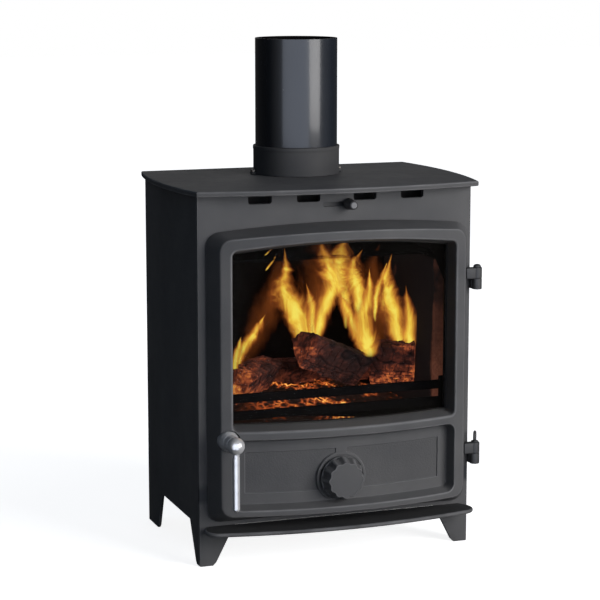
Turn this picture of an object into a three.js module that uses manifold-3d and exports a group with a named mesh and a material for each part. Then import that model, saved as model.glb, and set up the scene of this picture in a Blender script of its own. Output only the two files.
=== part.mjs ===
// A free-standing steel stove with a bowed door, a glass window, an ash lip and a top flue.
// Millimetres. X runs to the viewer's right, Y to the back and Z up; the door looks to -Y.
// The origin lies on the floor, under the middle of the stove's outer box.

import * as THREE from 'three';
import { mergeVertices } from 'three/addons/utils/BufferGeometryUtils.js';
import Module from 'manifold-3d';

const wasm = await Module();
wasm.setup();

// Driving dimensions ------------------------------------------------------------------------

const gap = 0.3; // between two pieces that touch
const over = 5; // how far a cutter stands past what it cuts

const body = { width: 432, depth: 283, height: 555, front: 6, sheet: 5 };
const leg = {
  height: 61, foot: 26, root: 55, sideFoot: 21, sideRoot: 51, rearFoot: 57, rearRoot: 78,
  hiddenFoot: 12, hiddenRoot: 18, toe: 5, edge: 1,
};
const topPlate = {
  thickness: 8, sideOverhang: 5, frontOverhang: 17, rearOverhang: 3, frontBow: 26, sideBow: 16,
};
const flue = { radius: 63.5, wall: 2, rise: 209, fromCentre: 40.6 };
const collar = {
  wall: 3.4, height: 44, bead: 0.8, beadDrop: 1, beadHeight: 4, boltRadius: 4, boltHead: 3,
  lug: 7, lugRoot: 2, lugHeight: 4,
};
const notch = { width: 36.5, depth: 15.5, radius: 4, inner: 44.5, outer: 120 };

const door = {
  centre: 2.6, sideInset: 9.6, footRise: 6.5, topDrop: 55.5, arch: 10.5, radius: 20,
  bevelSide: 13.4, bevelBottom: 14, bevelTop: 7.5, faceRadius: 17, edgeDepth: 30, bow: 30, backGap: 0.6,
};
const glazing = {
  sideRim: 16.7, footRise: 142, topDrop: 23.5, arch: 12.5, radius: 8, returnDepth: 25, draft: 5.5,
  pocket: 10, paneMargin: 4, pane: 4, gasket: 2, sight: 1.5, frame: 3, frameInset: 0.8,
  screwRadius: 2.5, screwHead: 2, screwMargin: 6.8, screwSeat: 0.9, screwShare: 0.55,
};
const recess = {
  footRise: 23, topGap: 12.5, radius: 13, depth: 20, draft: 5.5, skin: 8, hollowInset: 2,
  fieldInset: 16.5, fieldDepth: 2, neck: 16,
};
const rope = { inset: 9, width: 8, depth: 5.6, play: 0.5 };
const opening = { inset: 14, radius: 12 };

const hinge = {
  fromBody: 8, fromFront: 9, barrel: 7.5, pin: 4, knuckle: 16.5, upperDrop: 102.5, lowerRise: 57.5,
  head: 6, dome: 0.8, ring: 7, ringWire: 2.2, ringFoot: 2, lugDepth: 34, armInset: 1,
};
const handle = {
  edgeInset: 24.8, footRise: 128.5, collarRadius: 15.5, collarSeat: 18, collarPlay: 0.8, collarStep: 40,
  neckRadius: 11.5, neckSink: 6, ballRadius: 13, ballReach: 64, rodRadius: 5.5, rodLength: 99,
  spindle: 5, spindleTip: 1,
};
const cam = { hub: 8, length: 26, thickness: 5, play: 0.5, nut: 4.5, flank: 1, nutInset: 0.5 };
const wheel = {
  offset: -9.6, footRise: 62.5, ringOuter: 39, ringInner: 34.5, ringRaise: 1, disc: 33,
  discThickness: 4, knob: 27, flare: 1.18, lobe: 1.2, lobes: 12, knobDepth: 19, knobChamfer: 1,
  knobRound: 3,
  stud: 6, studReach: 8.25, studTail: 7, boreEnd: 2, nut: 10.5, nutDepth: 6, ports: 6, port: 6.5,
  portCircle: 19,
};
const airwash = {
  drop: 20.2, slotHalf: 22, slotHeight: 7, travel: 18, rod: 2.9, knobFront: 6.4, knobRear: 8.6,
  knobGap: 1, knobLength: 24, plateEnd: 48, plate: 3, plateDrop: 1, plateHeight: 35, portDrop: 5,
  ductDrop: 50, ductDepth: 35, ductFront: 12, ductWall: 2, clip: 24, clipWall: 2, clipFoot: 10,
  clipLap: 8,
};

const lip = { thickness: 6, reach: 40, bow: 27, sideInset: 2, rootInset: 11, radius: 22 };
const basePlate = { thickness: 5 };
const hearth = {
  rise: 100.5, thickness: 6, frontGap: 8, openingSide: 52, openingFront: 28, openingBack: 10.2,
};
const grate = { thickness: 10, bar: 9, slots: 11, rim: 10, ledge: 5, ledgeThickness: 3 };
const fence = {
  frontGap: 15.2, thickness: 8, bar: 13, lowerBar: 25.2, upperBar: 51.2, post: 10, postTip: 6,
  endGap: 2,
};
const brick = {
  thickness: 20, sideInset: 20.7, frontGap: 2, height: 252, mitre: 40, lip: 3, rearInset: 20,
};
const baffle = { thickness: 5, frontGap: 77.2 };
const ember = { sideGap: 10, frontGap: 12, backGap: 4.2, height: 50, cells: 9 };
const pan = {
  sideGap: 60.7, frontGap: 7.2, backGap: 28.2, height: 40, wall: 2,
  grip: 70, gripReach: 24, gripBar: 6, gripFront: 4, gripShare: 0.62,
};

// The split logs of the fire; rise is above the hearth plate, and the turns are in radians.
const logLeft = { sideGap: 70, frontGap: 76, rise: 62, length: 112, radius: 58, spread: 1.2, yaw: -0.75 };
const logMiddle = {
  shift: 25, frontGap: 66, rise: 88, length: 118, radius: 58, spread: 1.35, yaw: 1.87, tilt: 0.4, roll: 0.15,
};
const logRight = {
  sideGap: 32, frontGap: 89, rise: 70, length: 72, radius: 74, spread: 1, yaw: 1.15, roll: 0.1,
};
const logRear = { shift: 4, backGap: 36, rise: 52, endGap: 45, radius: 44, spread: 1.5, yaw: 1.55 };

// Places that several pieces share -----------------------------------------------------------

const frontY = -body.depth / 2;
const backY = body.depth / 2;
const sideX = body.width / 2;
const innerX = sideX - body.sheet - gap;
const innerFront = frontY + body.front + gap;
const innerBack = backY - body.sheet - gap;
const deckZ = body.height + topPlate.thickness;

// Materials ---------------------------------------------------------------------------------

const finish = (color, roughness, metalness, extra = {}) =>
  new THREE.MeshStandardMaterial({ color, roughness, metalness, ...extra });
const paint = finish(0x535355, 0.62, 0.25);
const enamel = finish(0x1c2026, 0.2, 0.3);
const chrome = finish(0xe4e6e8, 0.08, 1);
const iron = finish(0x1b1b1c, 0.75, 0.4);
const steel = finish(0x6c6e70, 0.45, 0.9);
const vermiculite = finish(0x8a5a42, 0.95, 0);
const wood = finish(0x3a2417, 0.95, 0);
const coals = finish(0x2a1a14, 1, 0, { emissive: 0xd04010, emissiveIntensity: 0.6 });
const ropeFibre = finish(0x2b2a29, 1, 0);
const clear = finish(0x30363a, 0.05, 0, { transparent: true, opacity: 0.25 });

const stove = new THREE.Group();

// Solids ------------------------------------------------------------------------------------

// A closed geometry becomes a solid that can be cut and joined.
function solid(geometry) {
  const bare = geometry.clone();
  bare.deleteAttribute('normal');
  bare.deleteAttribute('uv');
  const merged = mergeVertices(bare, 1e-4);
  const mesh = new wasm.Mesh({
    numProp: 3,
    vertProperties: new Float32Array(merged.attributes.position.array),
    triVerts: new Uint32Array(merged.index.array),
  });
  return new wasm.Manifold(mesh);
}

function geometryOf(shape) {
  const mesh = shape.getMesh();
  const geometry = new THREE.BufferGeometry();
  geometry.setAttribute('position', new THREE.BufferAttribute(mesh.vertProperties, 3));
  geometry.setIndex(new THREE.BufferAttribute(mesh.triVerts, 1));
  const flat = geometry.toNonIndexed();
  flat.computeVertexNormals();
  return flat;
}

const join = (first, ...others) => others.reduce((sum, other) => sum.add(other), first);
const cut = (first, ...others) => others.reduce((rest, other) => rest.subtract(other), first);

// Adds a piece to the stove under its own name.
function piece(name, shape, material) {
  const mesh = new THREE.Mesh(geometryOf(shape), material);
  mesh.name = name;
  stove.add(mesh);
  return mesh;
}

function block(x0, x1, y0, y1, z0, z1) {
  const geometry = new THREE.BoxGeometry(x1 - x0, y1 - y0, z1 - z0);
  return solid(geometry.translate((x0 + x1) / 2, (y0 + y1) / 2, (z0 + z1) / 2));
}

// Cylinders and cones; the first radius is at the lower coordinate of the axis.
function rodY(x, z, y0, y1, radius, sides = 24, farRadius = radius) {
  const geometry = new THREE.CylinderGeometry(farRadius, radius, y1 - y0, sides);
  return solid(geometry.translate(x, (y0 + y1) / 2, z));
}

function rodZ(x, y, z0, z1, radius, sides = 24, farRadius = radius) {
  const geometry = new THREE.CylinderGeometry(farRadius, radius, z1 - z0, sides).rotateX(Math.PI / 2);
  return solid(geometry.translate(x, y, (z0 + z1) / 2));
}

function shapeOf(points) {
  return new THREE.Shape(points.map(([a, b]) => new THREE.Vector2(a, b)));
}

const straight = { bevelEnabled: false, steps: 1 };

// Outlines drawn in XY, XZ or YZ and given a thickness across it.
function sheetZ(points, z0, z1) {
  const geometry = new THREE.ExtrudeGeometry(shapeOf(points), { ...straight, depth: z1 - z0 });
  return solid(geometry.translate(0, 0, z0));
}

function sheetY(points, y0, y1) {
  const geometry = new THREE.ExtrudeGeometry(shapeOf(points), { ...straight, depth: y1 - y0 });
  return solid(geometry.rotateX(Math.PI / 2).translate(0, y1, 0));
}

function sheetX(points, x0, x1) {
  const geometry = new THREE.ExtrudeGeometry(shapeOf(points), { ...straight, depth: x1 - x0 });
  const turn = new THREE.Matrix4().makeBasis(
    new THREE.Vector3(0, 1, 0), new THREE.Vector3(0, 0, 1), new THREE.Vector3(1, 0, 0));
  return solid(geometry.applyMatrix4(turn).translate(x0, 0, 0));
}

// Rings of equal length, each seen full in XZ, skinned one to the next and closed at both ends.
function loft(rings) {
  const count = rings[0].length;
  const positions = rings.flat().flatMap((point) => [point.x, point.y, point.z]);
  const faces = [];
  for (let r = 0; r + 1 < rings.length; r++) {
    for (let i = 0; i < count; i++) {
      const a = r * count + i;
      const b = r * count + ((i + 1) % count);
      faces.push(a, b, b + count, a, b + count, a + count);
    }
  }
  const flatRing = rings[0].map((point) => new THREE.Vector2(point.x, point.z));
  const last = (rings.length - 1) * count;
  for (const [a, b, c] of THREE.ShapeUtils.triangulateShape(flatRing, [])) {
    faces.push(a, c, b, last + a, last + b, last + c);
  }
  const geometry = new THREE.BufferGeometry();
  geometry.setAttribute('position', new THREE.Float32BufferAttribute(positions, 3));
  geometry.setIndex(faces);
  return solid(geometry);
}

// Outlines ----------------------------------------------------------------------------------

const roundSides = 40;
const cornerSteps = 4;
const edgeSteps = 12;

function arcPoints(x, z, radius, start, steps = cornerSteps) {
  return Array.from({ length: steps + 1 }, (_, i) => {
    const angle = start + (Math.PI / 2) * (i / steps);
    return [x + radius * Math.cos(angle), z + radius * Math.sin(angle)];
  });
}

// A rectangle with round corners whose top edge may rise to an arch; it runs anticlockwise.
function outline({ left, right, bottom, top, arch = 0, radius }) {
  const middle = (left + right) / 2;
  const half = (right - left) / 2;
  const across = (z, from, to) => Array.from({ length: edgeSteps - 1 }, (_, i) =>
    [from + ((to - from) * (i + 1)) / edgeSteps, z]);
  const upper = [
    ...arcPoints(right - radius, top - radius, radius, 0),
    ...across(top, right - radius, left + radius),
    ...arcPoints(left + radius, top - radius, radius, Math.PI / 2),
  ];
  return [
    ...arcPoints(left + radius, bottom + radius, radius, Math.PI),
    ...across(bottom, left + radius, right - radius),
    ...arcPoints(right - radius, bottom + radius, radius, 1.5 * Math.PI),
    ...upper.map(([x, z]) => [x, z + arch * (1 - ((x - middle) / half) ** 2)]),
  ];
}

function shrink(spec, side, low = side, high = side) {
  return {
    ...spec, left: spec.left + side, right: spec.right - side, bottom: spec.bottom + low,
    top: spec.top - high, radius: Math.max(spec.radius - side, 1),
  };
}

const ring = (spec, yAt) => outline(spec).map(([x, z]) => new THREE.Vector3(x, yAt(x), z));

// How far a curve of the given chord and rise stands off its chord.
function bowAt(x, halfChord, rise) {
  const radius = (halfChord ** 2 + rise ** 2) / (2 * rise);
  return Math.sqrt(radius ** 2 - x ** 2) - (radius - rise);
}

// Body --------------------------------------------------------------------------------------

const halfDoor = sideX - door.sideInset;
const doorBase = {
  left: door.centre - halfDoor, right: door.centre + halfDoor,
  bottom: leg.height + door.footRise, top: body.height - door.topDrop,
  arch: door.arch, radius: door.radius,
};
const doorway = shrink(doorBase, opening.inset);
doorway.radius = opening.radius;
const panelTop = body.height - gap;
const airwashZ = body.height - airwash.drop;
const notches = [-notch.outer, -notch.inner, notch.inner, notch.outer];

// The front and rear panels end below in two legs that narrow to a foot.
function legOutline(half, foot, root) {
  const { height, toe, edge } = leg;
  return [
    [-half, panelTop], [-half, edge], [-half + edge, 0], [-half + foot - toe, 0],
    [-half + foot, toe], [-half + root, height], [half - root, height],
    [half - foot, toe], [half - foot + toe, 0], [half - edge, 0], [half, edge], [half, panelTop],
  ];
}

function frontPlate() {
  const plate = sheetY(legOutline(sideX, leg.foot, leg.root), frontY, frontY + body.front);
  const range = [frontY - over, frontY + body.front + over];
  const topNotches = notches.map((x) => sheetY(outline({
    left: x - notch.width / 2, right: x + notch.width / 2, radius: notch.radius,
    bottom: body.height - notch.depth, top: body.height + notch.depth,
  }), ...range));
  const slot = sheetY(outline({
    left: -airwash.slotHalf, right: airwash.slotHalf, radius: airwash.slotHeight / 2 - 0.1,
    bottom: airwashZ - airwash.slotHeight / 2, top: airwashZ + airwash.slotHeight / 2,
  }), ...range);
  return cut(plate, sheetY(outline(doorway), ...range), slot, ...topNotches);
}

function sidePanel(side) {
  const front = innerFront;
  const foot = leg.sideFoot - body.front;
  const points = [
    [front, panelTop], [front, 0], [front + foot - leg.toe, 0], [front + foot, leg.toe],
    [frontY + leg.sideRoot, leg.height], [backY - leg.rearRoot, leg.height],
    [backY - leg.rearFoot, leg.toe], [backY - leg.rearFoot + leg.toe, 0], [backY, 0],
    [backY, panelTop],
  ];
  const outer = side * sideX;
  const inner = side * (sideX - body.sheet);
  return sheetX(points, Math.min(outer, inner), Math.max(outer, inner));
}

function rearPanel() {
  return sheetY(legOutline(innerX, leg.hiddenFoot, leg.hiddenRoot), backY - body.sheet, backY);
}

function topPlateSolid() {
  const z0 = body.height;
  const halfFront = sideX + topPlate.sideOverhang;
  const y0 = frontY - topPlate.frontOverhang;
  const y1 = backY + topPlate.rearOverhang;
  const middle = (y0 + y1) / 2;
  const half = (y1 - y0) / 2;
  const steps = 14;
  const points = [];
  for (let i = 0; i <= steps; i++) {
    const x = -halfFront + (2 * halfFront * i) / steps;
    points.push([x, y0 - bowAt(x, halfFront, topPlate.frontBow)]);
  }
  for (let i = 1; i <= steps; i++) {
    const y = y0 + ((y1 - y0) * i) / steps;
    points.push([halfFront + bowAt(y - middle, half, topPlate.sideBow), y]);
  }
  for (let i = steps; i >= 1; i--) {
    const y = y0 + ((y1 - y0) * i) / steps;
    points.push([-halfFront - bowAt(y - middle, half, topPlate.sideBow), y]);
  }
  return cut(sheetZ(points, z0, deckZ), flueRod(z0 - over, deckZ + over, flue.radius + gap));
}

const flueRod = (z0, z1, radius) => rodZ(0, flue.fromCentre, z0, z1, radius, roundSides);
const collarOuter = flue.radius + gap + collar.wall;

function fluePipe() {
  const top = deckZ + flue.rise;
  return cut(flueRod(body.height, top, flue.radius),
    flueRod(body.height - over, top + over, flue.radius - flue.wall));
}

function flueCollar() {
  const z0 = deckZ + gap;
  const z1 = z0 + collar.height;
  const beadTop = z1 - collar.beadDrop;
  const bead = flueRod(beadTop - collar.beadHeight, beadTop, collarOuter + collar.bead);
  const lugs = [-1, 1].map((side) => {
    const x = side * (collarOuter + collar.lug / 2 - collar.lugRoot);
    const half = collar.lug / 2 + collar.lugRoot;
    return block(x - half, x + half, flue.fromCentre - half, flue.fromCentre + half,
      z0, z0 + collar.lugHeight);
  });
  return cut(join(flueRod(z0, z1, collarOuter), bead, ...lugs),
    flueRod(z0 - over, z1 + over, flue.radius + gap));
}

piece('top_plate', topPlateSolid(), paint);
piece('flue_collar', flueCollar(), paint);
piece('flue_pipe', fluePipe(), enamel);
for (const [name, side] of [['left', -1], ['right', 1]]) {
  const x = side * (collarOuter + collar.lug / 2);
  const z0 = deckZ + 2 * gap + collar.lugHeight;
  const head = rodZ(x, flue.fromCentre, z0, z0 + collar.boltHead, collar.boltRadius, 6);
  piece(`collar_bolt_${name}`, head, steel);
}
piece('front_plate', frontPlate(), paint);
piece('side_panel_left', sidePanel(-1), paint);
piece('side_panel_right', sidePanel(1), paint);
piece('rear_panel', rearPanel(), paint);
piece('base_plate', block(-innerX, innerX, innerFront, innerBack,
  doorway.bottom - basePlate.thickness, doorway.bottom), paint);

function ashLip() {
  const steps = 12;
  const half = sideX - lip.sideInset;
  const root = frontY - gap;
  const flatHalf = half - lip.radius;
  const edge = (x) => frontY - lip.reach - bowAt(x, half, lip.bow);
  const rootHalf = half - lip.rootInset;
  const points = [[-rootHalf, root]];
  const roundEnd = (side) => arcPoints(side * flatHalf, edge(flatHalf) + lip.radius, lip.radius,
    side < 0 ? Math.PI : 1.5 * Math.PI);
  points.push(...roundEnd(-1));
  for (let i = 1; i < steps; i++) {
    const x = -flatHalf + (2 * flatHalf * i) / steps;
    points.push([x, edge(x)]);
  }
  points.push(...roundEnd(1), [rootHalf, root]);
  return sheetZ(points, leg.height - lip.thickness, leg.height);
}
piece('ash_lip', ashLip(), paint);

// Firebox -----------------------------------------------------------------------------------

const hearthBottom = doorway.bottom + hearth.rise;
const hearthTop = hearthBottom + hearth.thickness;
const floorZ = hearthTop + gap;
const brickTop = floorZ + brick.height;
const fenceY = innerFront + fence.frontGap;
const firebox = {
  outer: innerX - brick.sideInset,
  half: innerX - brick.sideInset - brick.thickness,
  front: fenceY + fence.thickness,
  back: innerBack - brick.rearInset - brick.thickness,
};
const grateHole = {
  half: firebox.half - hearth.openingSide,
  front: firebox.front + hearth.openingFront,
  back: firebox.back - hearth.openingBack,
};

function hearthPlate() {
  const plate = block(-innerX, innerX, innerFront + hearth.frontGap, innerBack, hearthBottom, hearthTop);
  const hole = block(-grateHole.half, grateHole.half, grateHole.front, grateHole.back,
    hearthBottom - over, hearthTop + over);
  return cut(plate, hole);
}

// The grate hangs in the opening by a rim that rests on the hearth plate.
function grateSolid() {
  const { bar, slots, rim, ledge } = grate;
  const x = grateHole.half - gap;
  const y0 = grateHole.front + gap;
  const y1 = grateHole.back - gap;
  const z0 = hearthTop - grate.thickness;
  const z1 = floorZ + grate.ledgeThickness;
  const plate = block(-x, x, y0, y1, z0, floorZ);
  const flange = block(-x - ledge, x + ledge, y0 - ledge, y1 + ledge, floorZ, z1);
  const pitch = (2 * (x - rim) + bar) / slots;
  const holes = Array.from({ length: slots }, (_, i) => {
    const start = -x + rim + i * pitch;
    return block(start, start + pitch - bar, y0 + rim, y1 - rim, z0 - over, z1 + over);
  });
  return cut(join(plate, flange), ...holes);
}

function fireFence() {
  const half = firebox.outer - fence.endGap;
  const bar = (rise) => block(-half, half, fenceY, firebox.front, floorZ + rise, floorZ + rise + fence.bar);
  const top = floorZ + fence.upperBar + fence.bar + fence.postTip;
  return join(bar(fence.lowerBar), bar(fence.upperBar),
    block(-half, fence.post - half, fenceY, firebox.front, floorZ, top),
    block(half - fence.post, half, fenceY, firebox.front, floorZ, top));
}

function sideBrick(side) {
  const x0 = firebox.half;
  const x1 = firebox.outer;
  const points = [
    [x0, floorZ], [x1, floorZ], [x1, brickTop - brick.mitre], [x0 + brick.lip, brickTop], [x0, brickTop],
  ];
  const placed = side > 0 ? points : points.map(([x, z]) => [-x, z]).reverse();
  return sheetY(placed, firebox.front + brick.frontGap, firebox.back - gap);
}

piece('hearth_plate', hearthPlate(), iron);
piece('grate', grateSolid(), iron);
piece('fire_fence', fireFence(), iron);
piece('brick_left', sideBrick(-1), vermiculite);
piece('brick_right', sideBrick(1), vermiculite);
piece('brick_rear', block(-firebox.outer, firebox.outer, firebox.back, firebox.back + brick.thickness,
  floorZ, brickTop), vermiculite);
piece('baffle_plate', block(-firebox.outer, firebox.outer, innerFront + baffle.frontGap, innerBack - gap,
  brickTop + gap, brickTop + gap + baffle.thickness), iron);

// A low heap of embers over the grate, flat below and uneven above.
function emberBed() {
  const z0 = floorZ + grate.ledgeThickness + gap;
  const width = 2 * (firebox.half - ember.sideGap);
  const front = firebox.front + ember.frontGap;
  const depth = firebox.back - ember.backGap - front;
  const heightAt = (u, v) => {
    const edge = Math.min(1, 4 * Math.min(u, 1 - u), 4 * Math.min(v, 1 - v));
    const waves = 0.28 * Math.sin(17 * u + 3 * v) * Math.cos(11 * v - 5 * u);
    const bumps = 0.5 + waves + 0.2 * Math.sin(31 * u * v);
    return ember.height * (0.28 + 0.36 * edge + 0.3 * bumps * edge);
  };
  const plate = new THREE.BoxGeometry(width, depth, 1, ember.cells, ember.cells, 1);
  const position = plate.attributes.position;
  for (let i = 0; i < position.count; i++) {
    const u = position.getX(i) / width + 0.5;
    const v = position.getY(i) / depth + 0.5;
    const top = position.getZ(i) > 0;
    position.setZ(i, z0 + (top ? heightAt(u, v) : 0));
  }
  return solid(plate.translate(0, front + depth / 2, 0));
}

// A split log: a wedge of a trunk with bark on its round side, slightly uneven along its length.
function splitLog(x, y, { rise, length, radius, spread, yaw, tilt = 0, roll = 0 }) {
  const sides = 9;
  const stations = 7;
  const heart = 0.42;
  const section = [new THREE.Vector2(0, -radius * heart)];
  for (let i = 0; i <= sides; i++) {
    const angle = Math.PI / 2 - spread / 2 + (spread * i) / sides;
    section.push(new THREE.Vector2(radius * Math.cos(angle), radius * (Math.sin(angle) - heart)));
  }
  const rings = Array.from({ length: stations + 1 }, (_, s) => section.map((point, i) => {
    const wobble = 1 + 0.05 * Math.sin(2.3 * s + 1.7 * i + 4 * yaw);
    return new THREE.Vector3(point.x * wobble, (0.5 - s / stations) * length, point.y * wobble);
  }));
  const turn = new THREE.Matrix4().makeRotationFromEuler(new THREE.Euler(tilt, roll, yaw, 'ZXY'));
  turn.setPosition(x, y, hearthTop + rise);
  return loft(rings).transform(turn.elements);
}

const embers = emberBed();
piece('ember_bed', embers, coals);

// Each log has sunk a little into the embers and lies between the bricks and the fence.
const fireSpace = block(gap - firebox.half, firebox.half - gap, firebox.front + gap, firebox.back - gap,
  hearthTop, brickTop);
const fromFront = (log) => firebox.front + log.frontGap;
const rearLog = { ...logRear, length: 2 * (firebox.half - logRear.endGap) };
const logs = {
  log_left: splitLog(logLeft.sideGap - firebox.half, fromFront(logLeft), logLeft),
  log_middle: splitLog(logMiddle.shift, fromFront(logMiddle), logMiddle),
  log_right: splitLog(firebox.half - logRight.sideGap, fromFront(logRight), logRight),
  log_rear: splitLog(logRear.shift, firebox.back - logRear.backGap, rearLog),
};
for (const [name, log] of Object.entries(logs)) {
  piece(name, log.intersect(fireSpace).subtract(embers.translate([0, 0, gap])), wood);
}

// Door --------------------------------------------------------------------------------------

const halfFace = halfDoor - door.bevelSide;
const doorBack = frontY - door.backGap;
const faceY = (x, inset = 0) =>
  frontY - door.edgeDepth - bowAt(x - door.centre, halfFace, door.bow) + inset;

// A slab that follows the bow of the door, between two depths behind its face.
function bowedSlab(left, right, bottom, top, near, far, steps = 16) {
  const along = (inset, from, to) => Array.from({ length: steps + 1 }, (_, i) => {
    const x = from + ((to - from) * i) / steps;
    return [x, faceY(x, inset)];
  });
  const front = along(near, left, right);
  const rear = far === null ? [[right, frontY], [left, frontY]] : along(far, right, left);
  return sheetZ([...front, ...rear], bottom, top);
}

const halfWindow = halfFace - glazing.sideRim;
const windowFront = {
  left: door.centre - halfWindow, right: door.centre + halfWindow,
  bottom: doorBase.bottom + glazing.footRise, top: doorBase.top - glazing.topDrop,
  arch: glazing.arch, radius: glazing.radius,
};
const windowInner = shrink(windowFront, glazing.draft);
const glassPocket = shrink(windowInner, -glazing.pocket);
const recessFront = {
  left: windowFront.left, right: windowFront.right,
  bottom: doorBase.bottom + recess.footRise, top: windowFront.bottom - recess.topGap,
  arch: 0, radius: recess.radius,
};
const recessFloor = shrink(recessFront, recess.draft);
const field = shrink(recessFloor, recess.fieldInset);
const hollow = shrink(recessFloor, recess.hollowInset);

// The whole depth of the door, past its farthest point and past its back.
const doorFar = frontY - door.edgeDepth - door.bow - 6 * over;
const doorNear = frontY + 2 * over;
const through = [doorFar, doorNear];

const wheelX = door.centre + wheel.offset;
const wheelZ = doorBase.bottom + wheel.footRise;
const wheelRod = (y0, y1, radius, sides) => rodY(wheelX, wheelZ, y0, y1, radius, sides);
const wheelY = faceY(wheelX, recess.depth);
const handleX = doorBase.left + handle.edgeInset;
const handleZ = doorBase.bottom + handle.footRise;
const handleBore = (y0, y1) => rodY(handleX, handleZ, y0, y1, handle.spindle + gap, 16);
const hingeX = sideX + hinge.fromBody;
const hingeY = frontY - hinge.fromFront;
const hingeRod = (z0, z1, radius, sides = 20) => rodZ(hingeX, hingeY, z0, z1, radius, sides);
const hingeHeights = {
  upper: doorBase.top - hinge.upperDrop, lower: doorBase.bottom + hinge.lowerRise,
};

// A pad that fills an outline between two depths behind the face; a far of null ends it flat.
function bowedPad(spec, near, far) {
  return bowedSlab(spec.left, spec.right, spec.bottom - 1, spec.top + spec.arch + 1, near, far)
    .intersect(sheetY(outline(spec), ...through));
}
const bowedRing = (outer, inner, near, far) =>
  cut(bowedPad(outer, near, far), sheetY(outline(inner), ...through));

function doorFrame() {
  const face = shrink(doorBase, door.bevelSide, door.bevelBottom, door.bevelTop);
  face.radius = door.faceRadius;
  const far = () => doorFar;
  const shell = loft([ring(doorBase, () => doorBack), ring(face, faceY), ring(face, far)]);
  const slab = bowedSlab(doorBase.left - 1, doorBase.right + 1, doorBase.bottom - over,
    doorBase.top + doorBase.arch + over, 0, null);
  let frame = shell.intersect(slab);

  const windowCut = loft([
    ring(windowInner, () => doorNear), ring(windowInner, (x) => faceY(x, glazing.returnDepth)),
    ring(windowFront, faceY), ring(windowFront, far),
  ]);
  const pocketCut = bowedPad(glassPocket, glazing.returnDepth, null);
  const recessCut = loft([
    ring(recessFloor, () => frontY), ring(recessFloor, (x) => faceY(x, recess.depth)),
    ring(recessFront, faceY), ring(recessFront, far),
  ]).intersect(bowedPad(shrink(recessFront, -over), -door.bow, recess.depth));
  const hollowCut = bowedPad(hollow, recess.depth + recess.skin, null);
  frame = cut(frame, windowCut, pocketCut, recessCut, hollowCut);

  // The sunken field in the recess, and the seat of the air wheel with its neck to the border.
  const neck = block(wheelX - recess.neck / 2, wheelX + recess.neck / 2, ...through,
    wheelZ, recessFloor.top);
  const fieldSpan = [recess.depth - recess.fieldDepth, recess.depth + recess.fieldDepth];
  const fieldCut = cut(bowedPad(field, ...fieldSpan), neck);
  const seat = wheelRod(wheelY - wheel.ringRaise, wheelY + recess.skin, wheel.ringOuter, 40);
  const seatCut = wheelRod(doorFar, wheelY, wheel.ringInner, 40);
  const rearCut = wheelRod(wheelY + recess.skin, doorNear, wheel.ringOuter + 1, 40);
  frame = cut(join(cut(frame, fieldCut), seat), seatCut);
  const ports = Array.from({ length: wheel.ports }, (_, i) => {
    const angle = (i / wheel.ports) * 2 * Math.PI;
    return rodY(wheelX + wheel.portCircle * Math.cos(angle),
      wheelZ + wheel.portCircle * Math.sin(angle), doorFar, doorNear, wheel.port, 12);
  });
  frame = cut(frame, rearCut, wheelRod(doorFar, doorNear, wheel.stud + gap, 16), ...ports);

  // The groove for the rope seal, the seat of the handle and the hinge knuckles.
  const ropeGroove = cut(
    sheetY(outline(ropeEdge(-1, rope.play)), doorBack - rope.depth, doorNear),
    sheetY(outline(ropeEdge(1, rope.play)), doorBack - rope.depth - over, doorNear + over));
  const handleSeat = rodY(handleX, handleZ, doorFar, frontY - handle.collarSeat,
    handle.collarRadius + handle.collarPlay, 32);
  frame = cut(frame, ropeGroove, handleBore(...through), handleSeat);
  for (const z of Object.values(hingeHeights)) {
    const z0 = z + hinge.knuckle + gap;
    const z1 = z0 + hinge.knuckle;
    const half = hinge.barrel - hinge.armInset;
    const arm = block(ropeEdge(-1, 2 * rope.play).right, hingeX, hingeY - half, hingeY + half, z0, z1);
    frame = cut(join(frame, arm, hingeRod(z0, z1, hinge.barrel)),
      hingeRod(z0 - over, z1 + over, hinge.pin + gap, 16));
  }
  return frame;
}

// The outer (-1) or inner (1) edge of the rope seal, or of its groove with some play.
function ropeEdge(side, play = 0) {
  return shrink(doorBase, rope.inset + side * (rope.width / 2 + play));
}
piece('door_frame', doorFrame(), paint);

// Glass, its gasket and the frame that clamps it from behind.
const paneEdge = shrink(windowInner, -glazing.paneMargin);
const insideEdge = shrink(windowInner, glazing.sight);
const gasketFar = glazing.returnDepth + gap + glazing.gasket;
const paneFar = gasketFar + gap + glazing.pane;
const clampFar = paneFar + gap + glazing.frame;
piece('glass_gasket', bowedRing(paneEdge, insideEdge, glazing.returnDepth + gap, gasketFar), ropeFibre);
piece('door_glass', bowedPad(paneEdge, gasketFar + gap, paneFar), clear);

const clampOuter = shrink(glassPocket, glazing.frameInset);
const screws = [];
for (const side of [-1, 1]) {
  const middle = (windowInner.left + windowInner.right) / 2;
  const x = middle + side * glazing.screwShare * (windowInner.right - middle);
  const rise = windowInner.arch * (1 - glazing.screwShare ** 2);
  screws.push([x, windowInner.top + rise + glazing.screwMargin]);
  screws.push([x, windowInner.bottom - glazing.screwMargin]);
}
function clampFrame() {
  const holes = screws.map(([x, z]) => rodY(x, z, ...through, glazing.screwRadius / 2 + gap, 8));
  return cut(bowedRing(clampOuter, insideEdge, paneFar + gap, clampFar), ...holes);
}
piece('glass_clamp', clampFrame(), iron);
screws.forEach(([x, z], i) => {
  const seat = faceY(x, clampFar) + gap + glazing.screwSeat;
  const head = rodY(x, z, seat, seat + glazing.screwHead, glazing.screwRadius, 12);
  const shank = rodY(x, z, faceY(x, glazing.returnDepth) + gap, seat, glazing.screwRadius / 2, 8);
  piece(`glass_screw_${i + 1}`, head.add(shank), steel);
});

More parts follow.
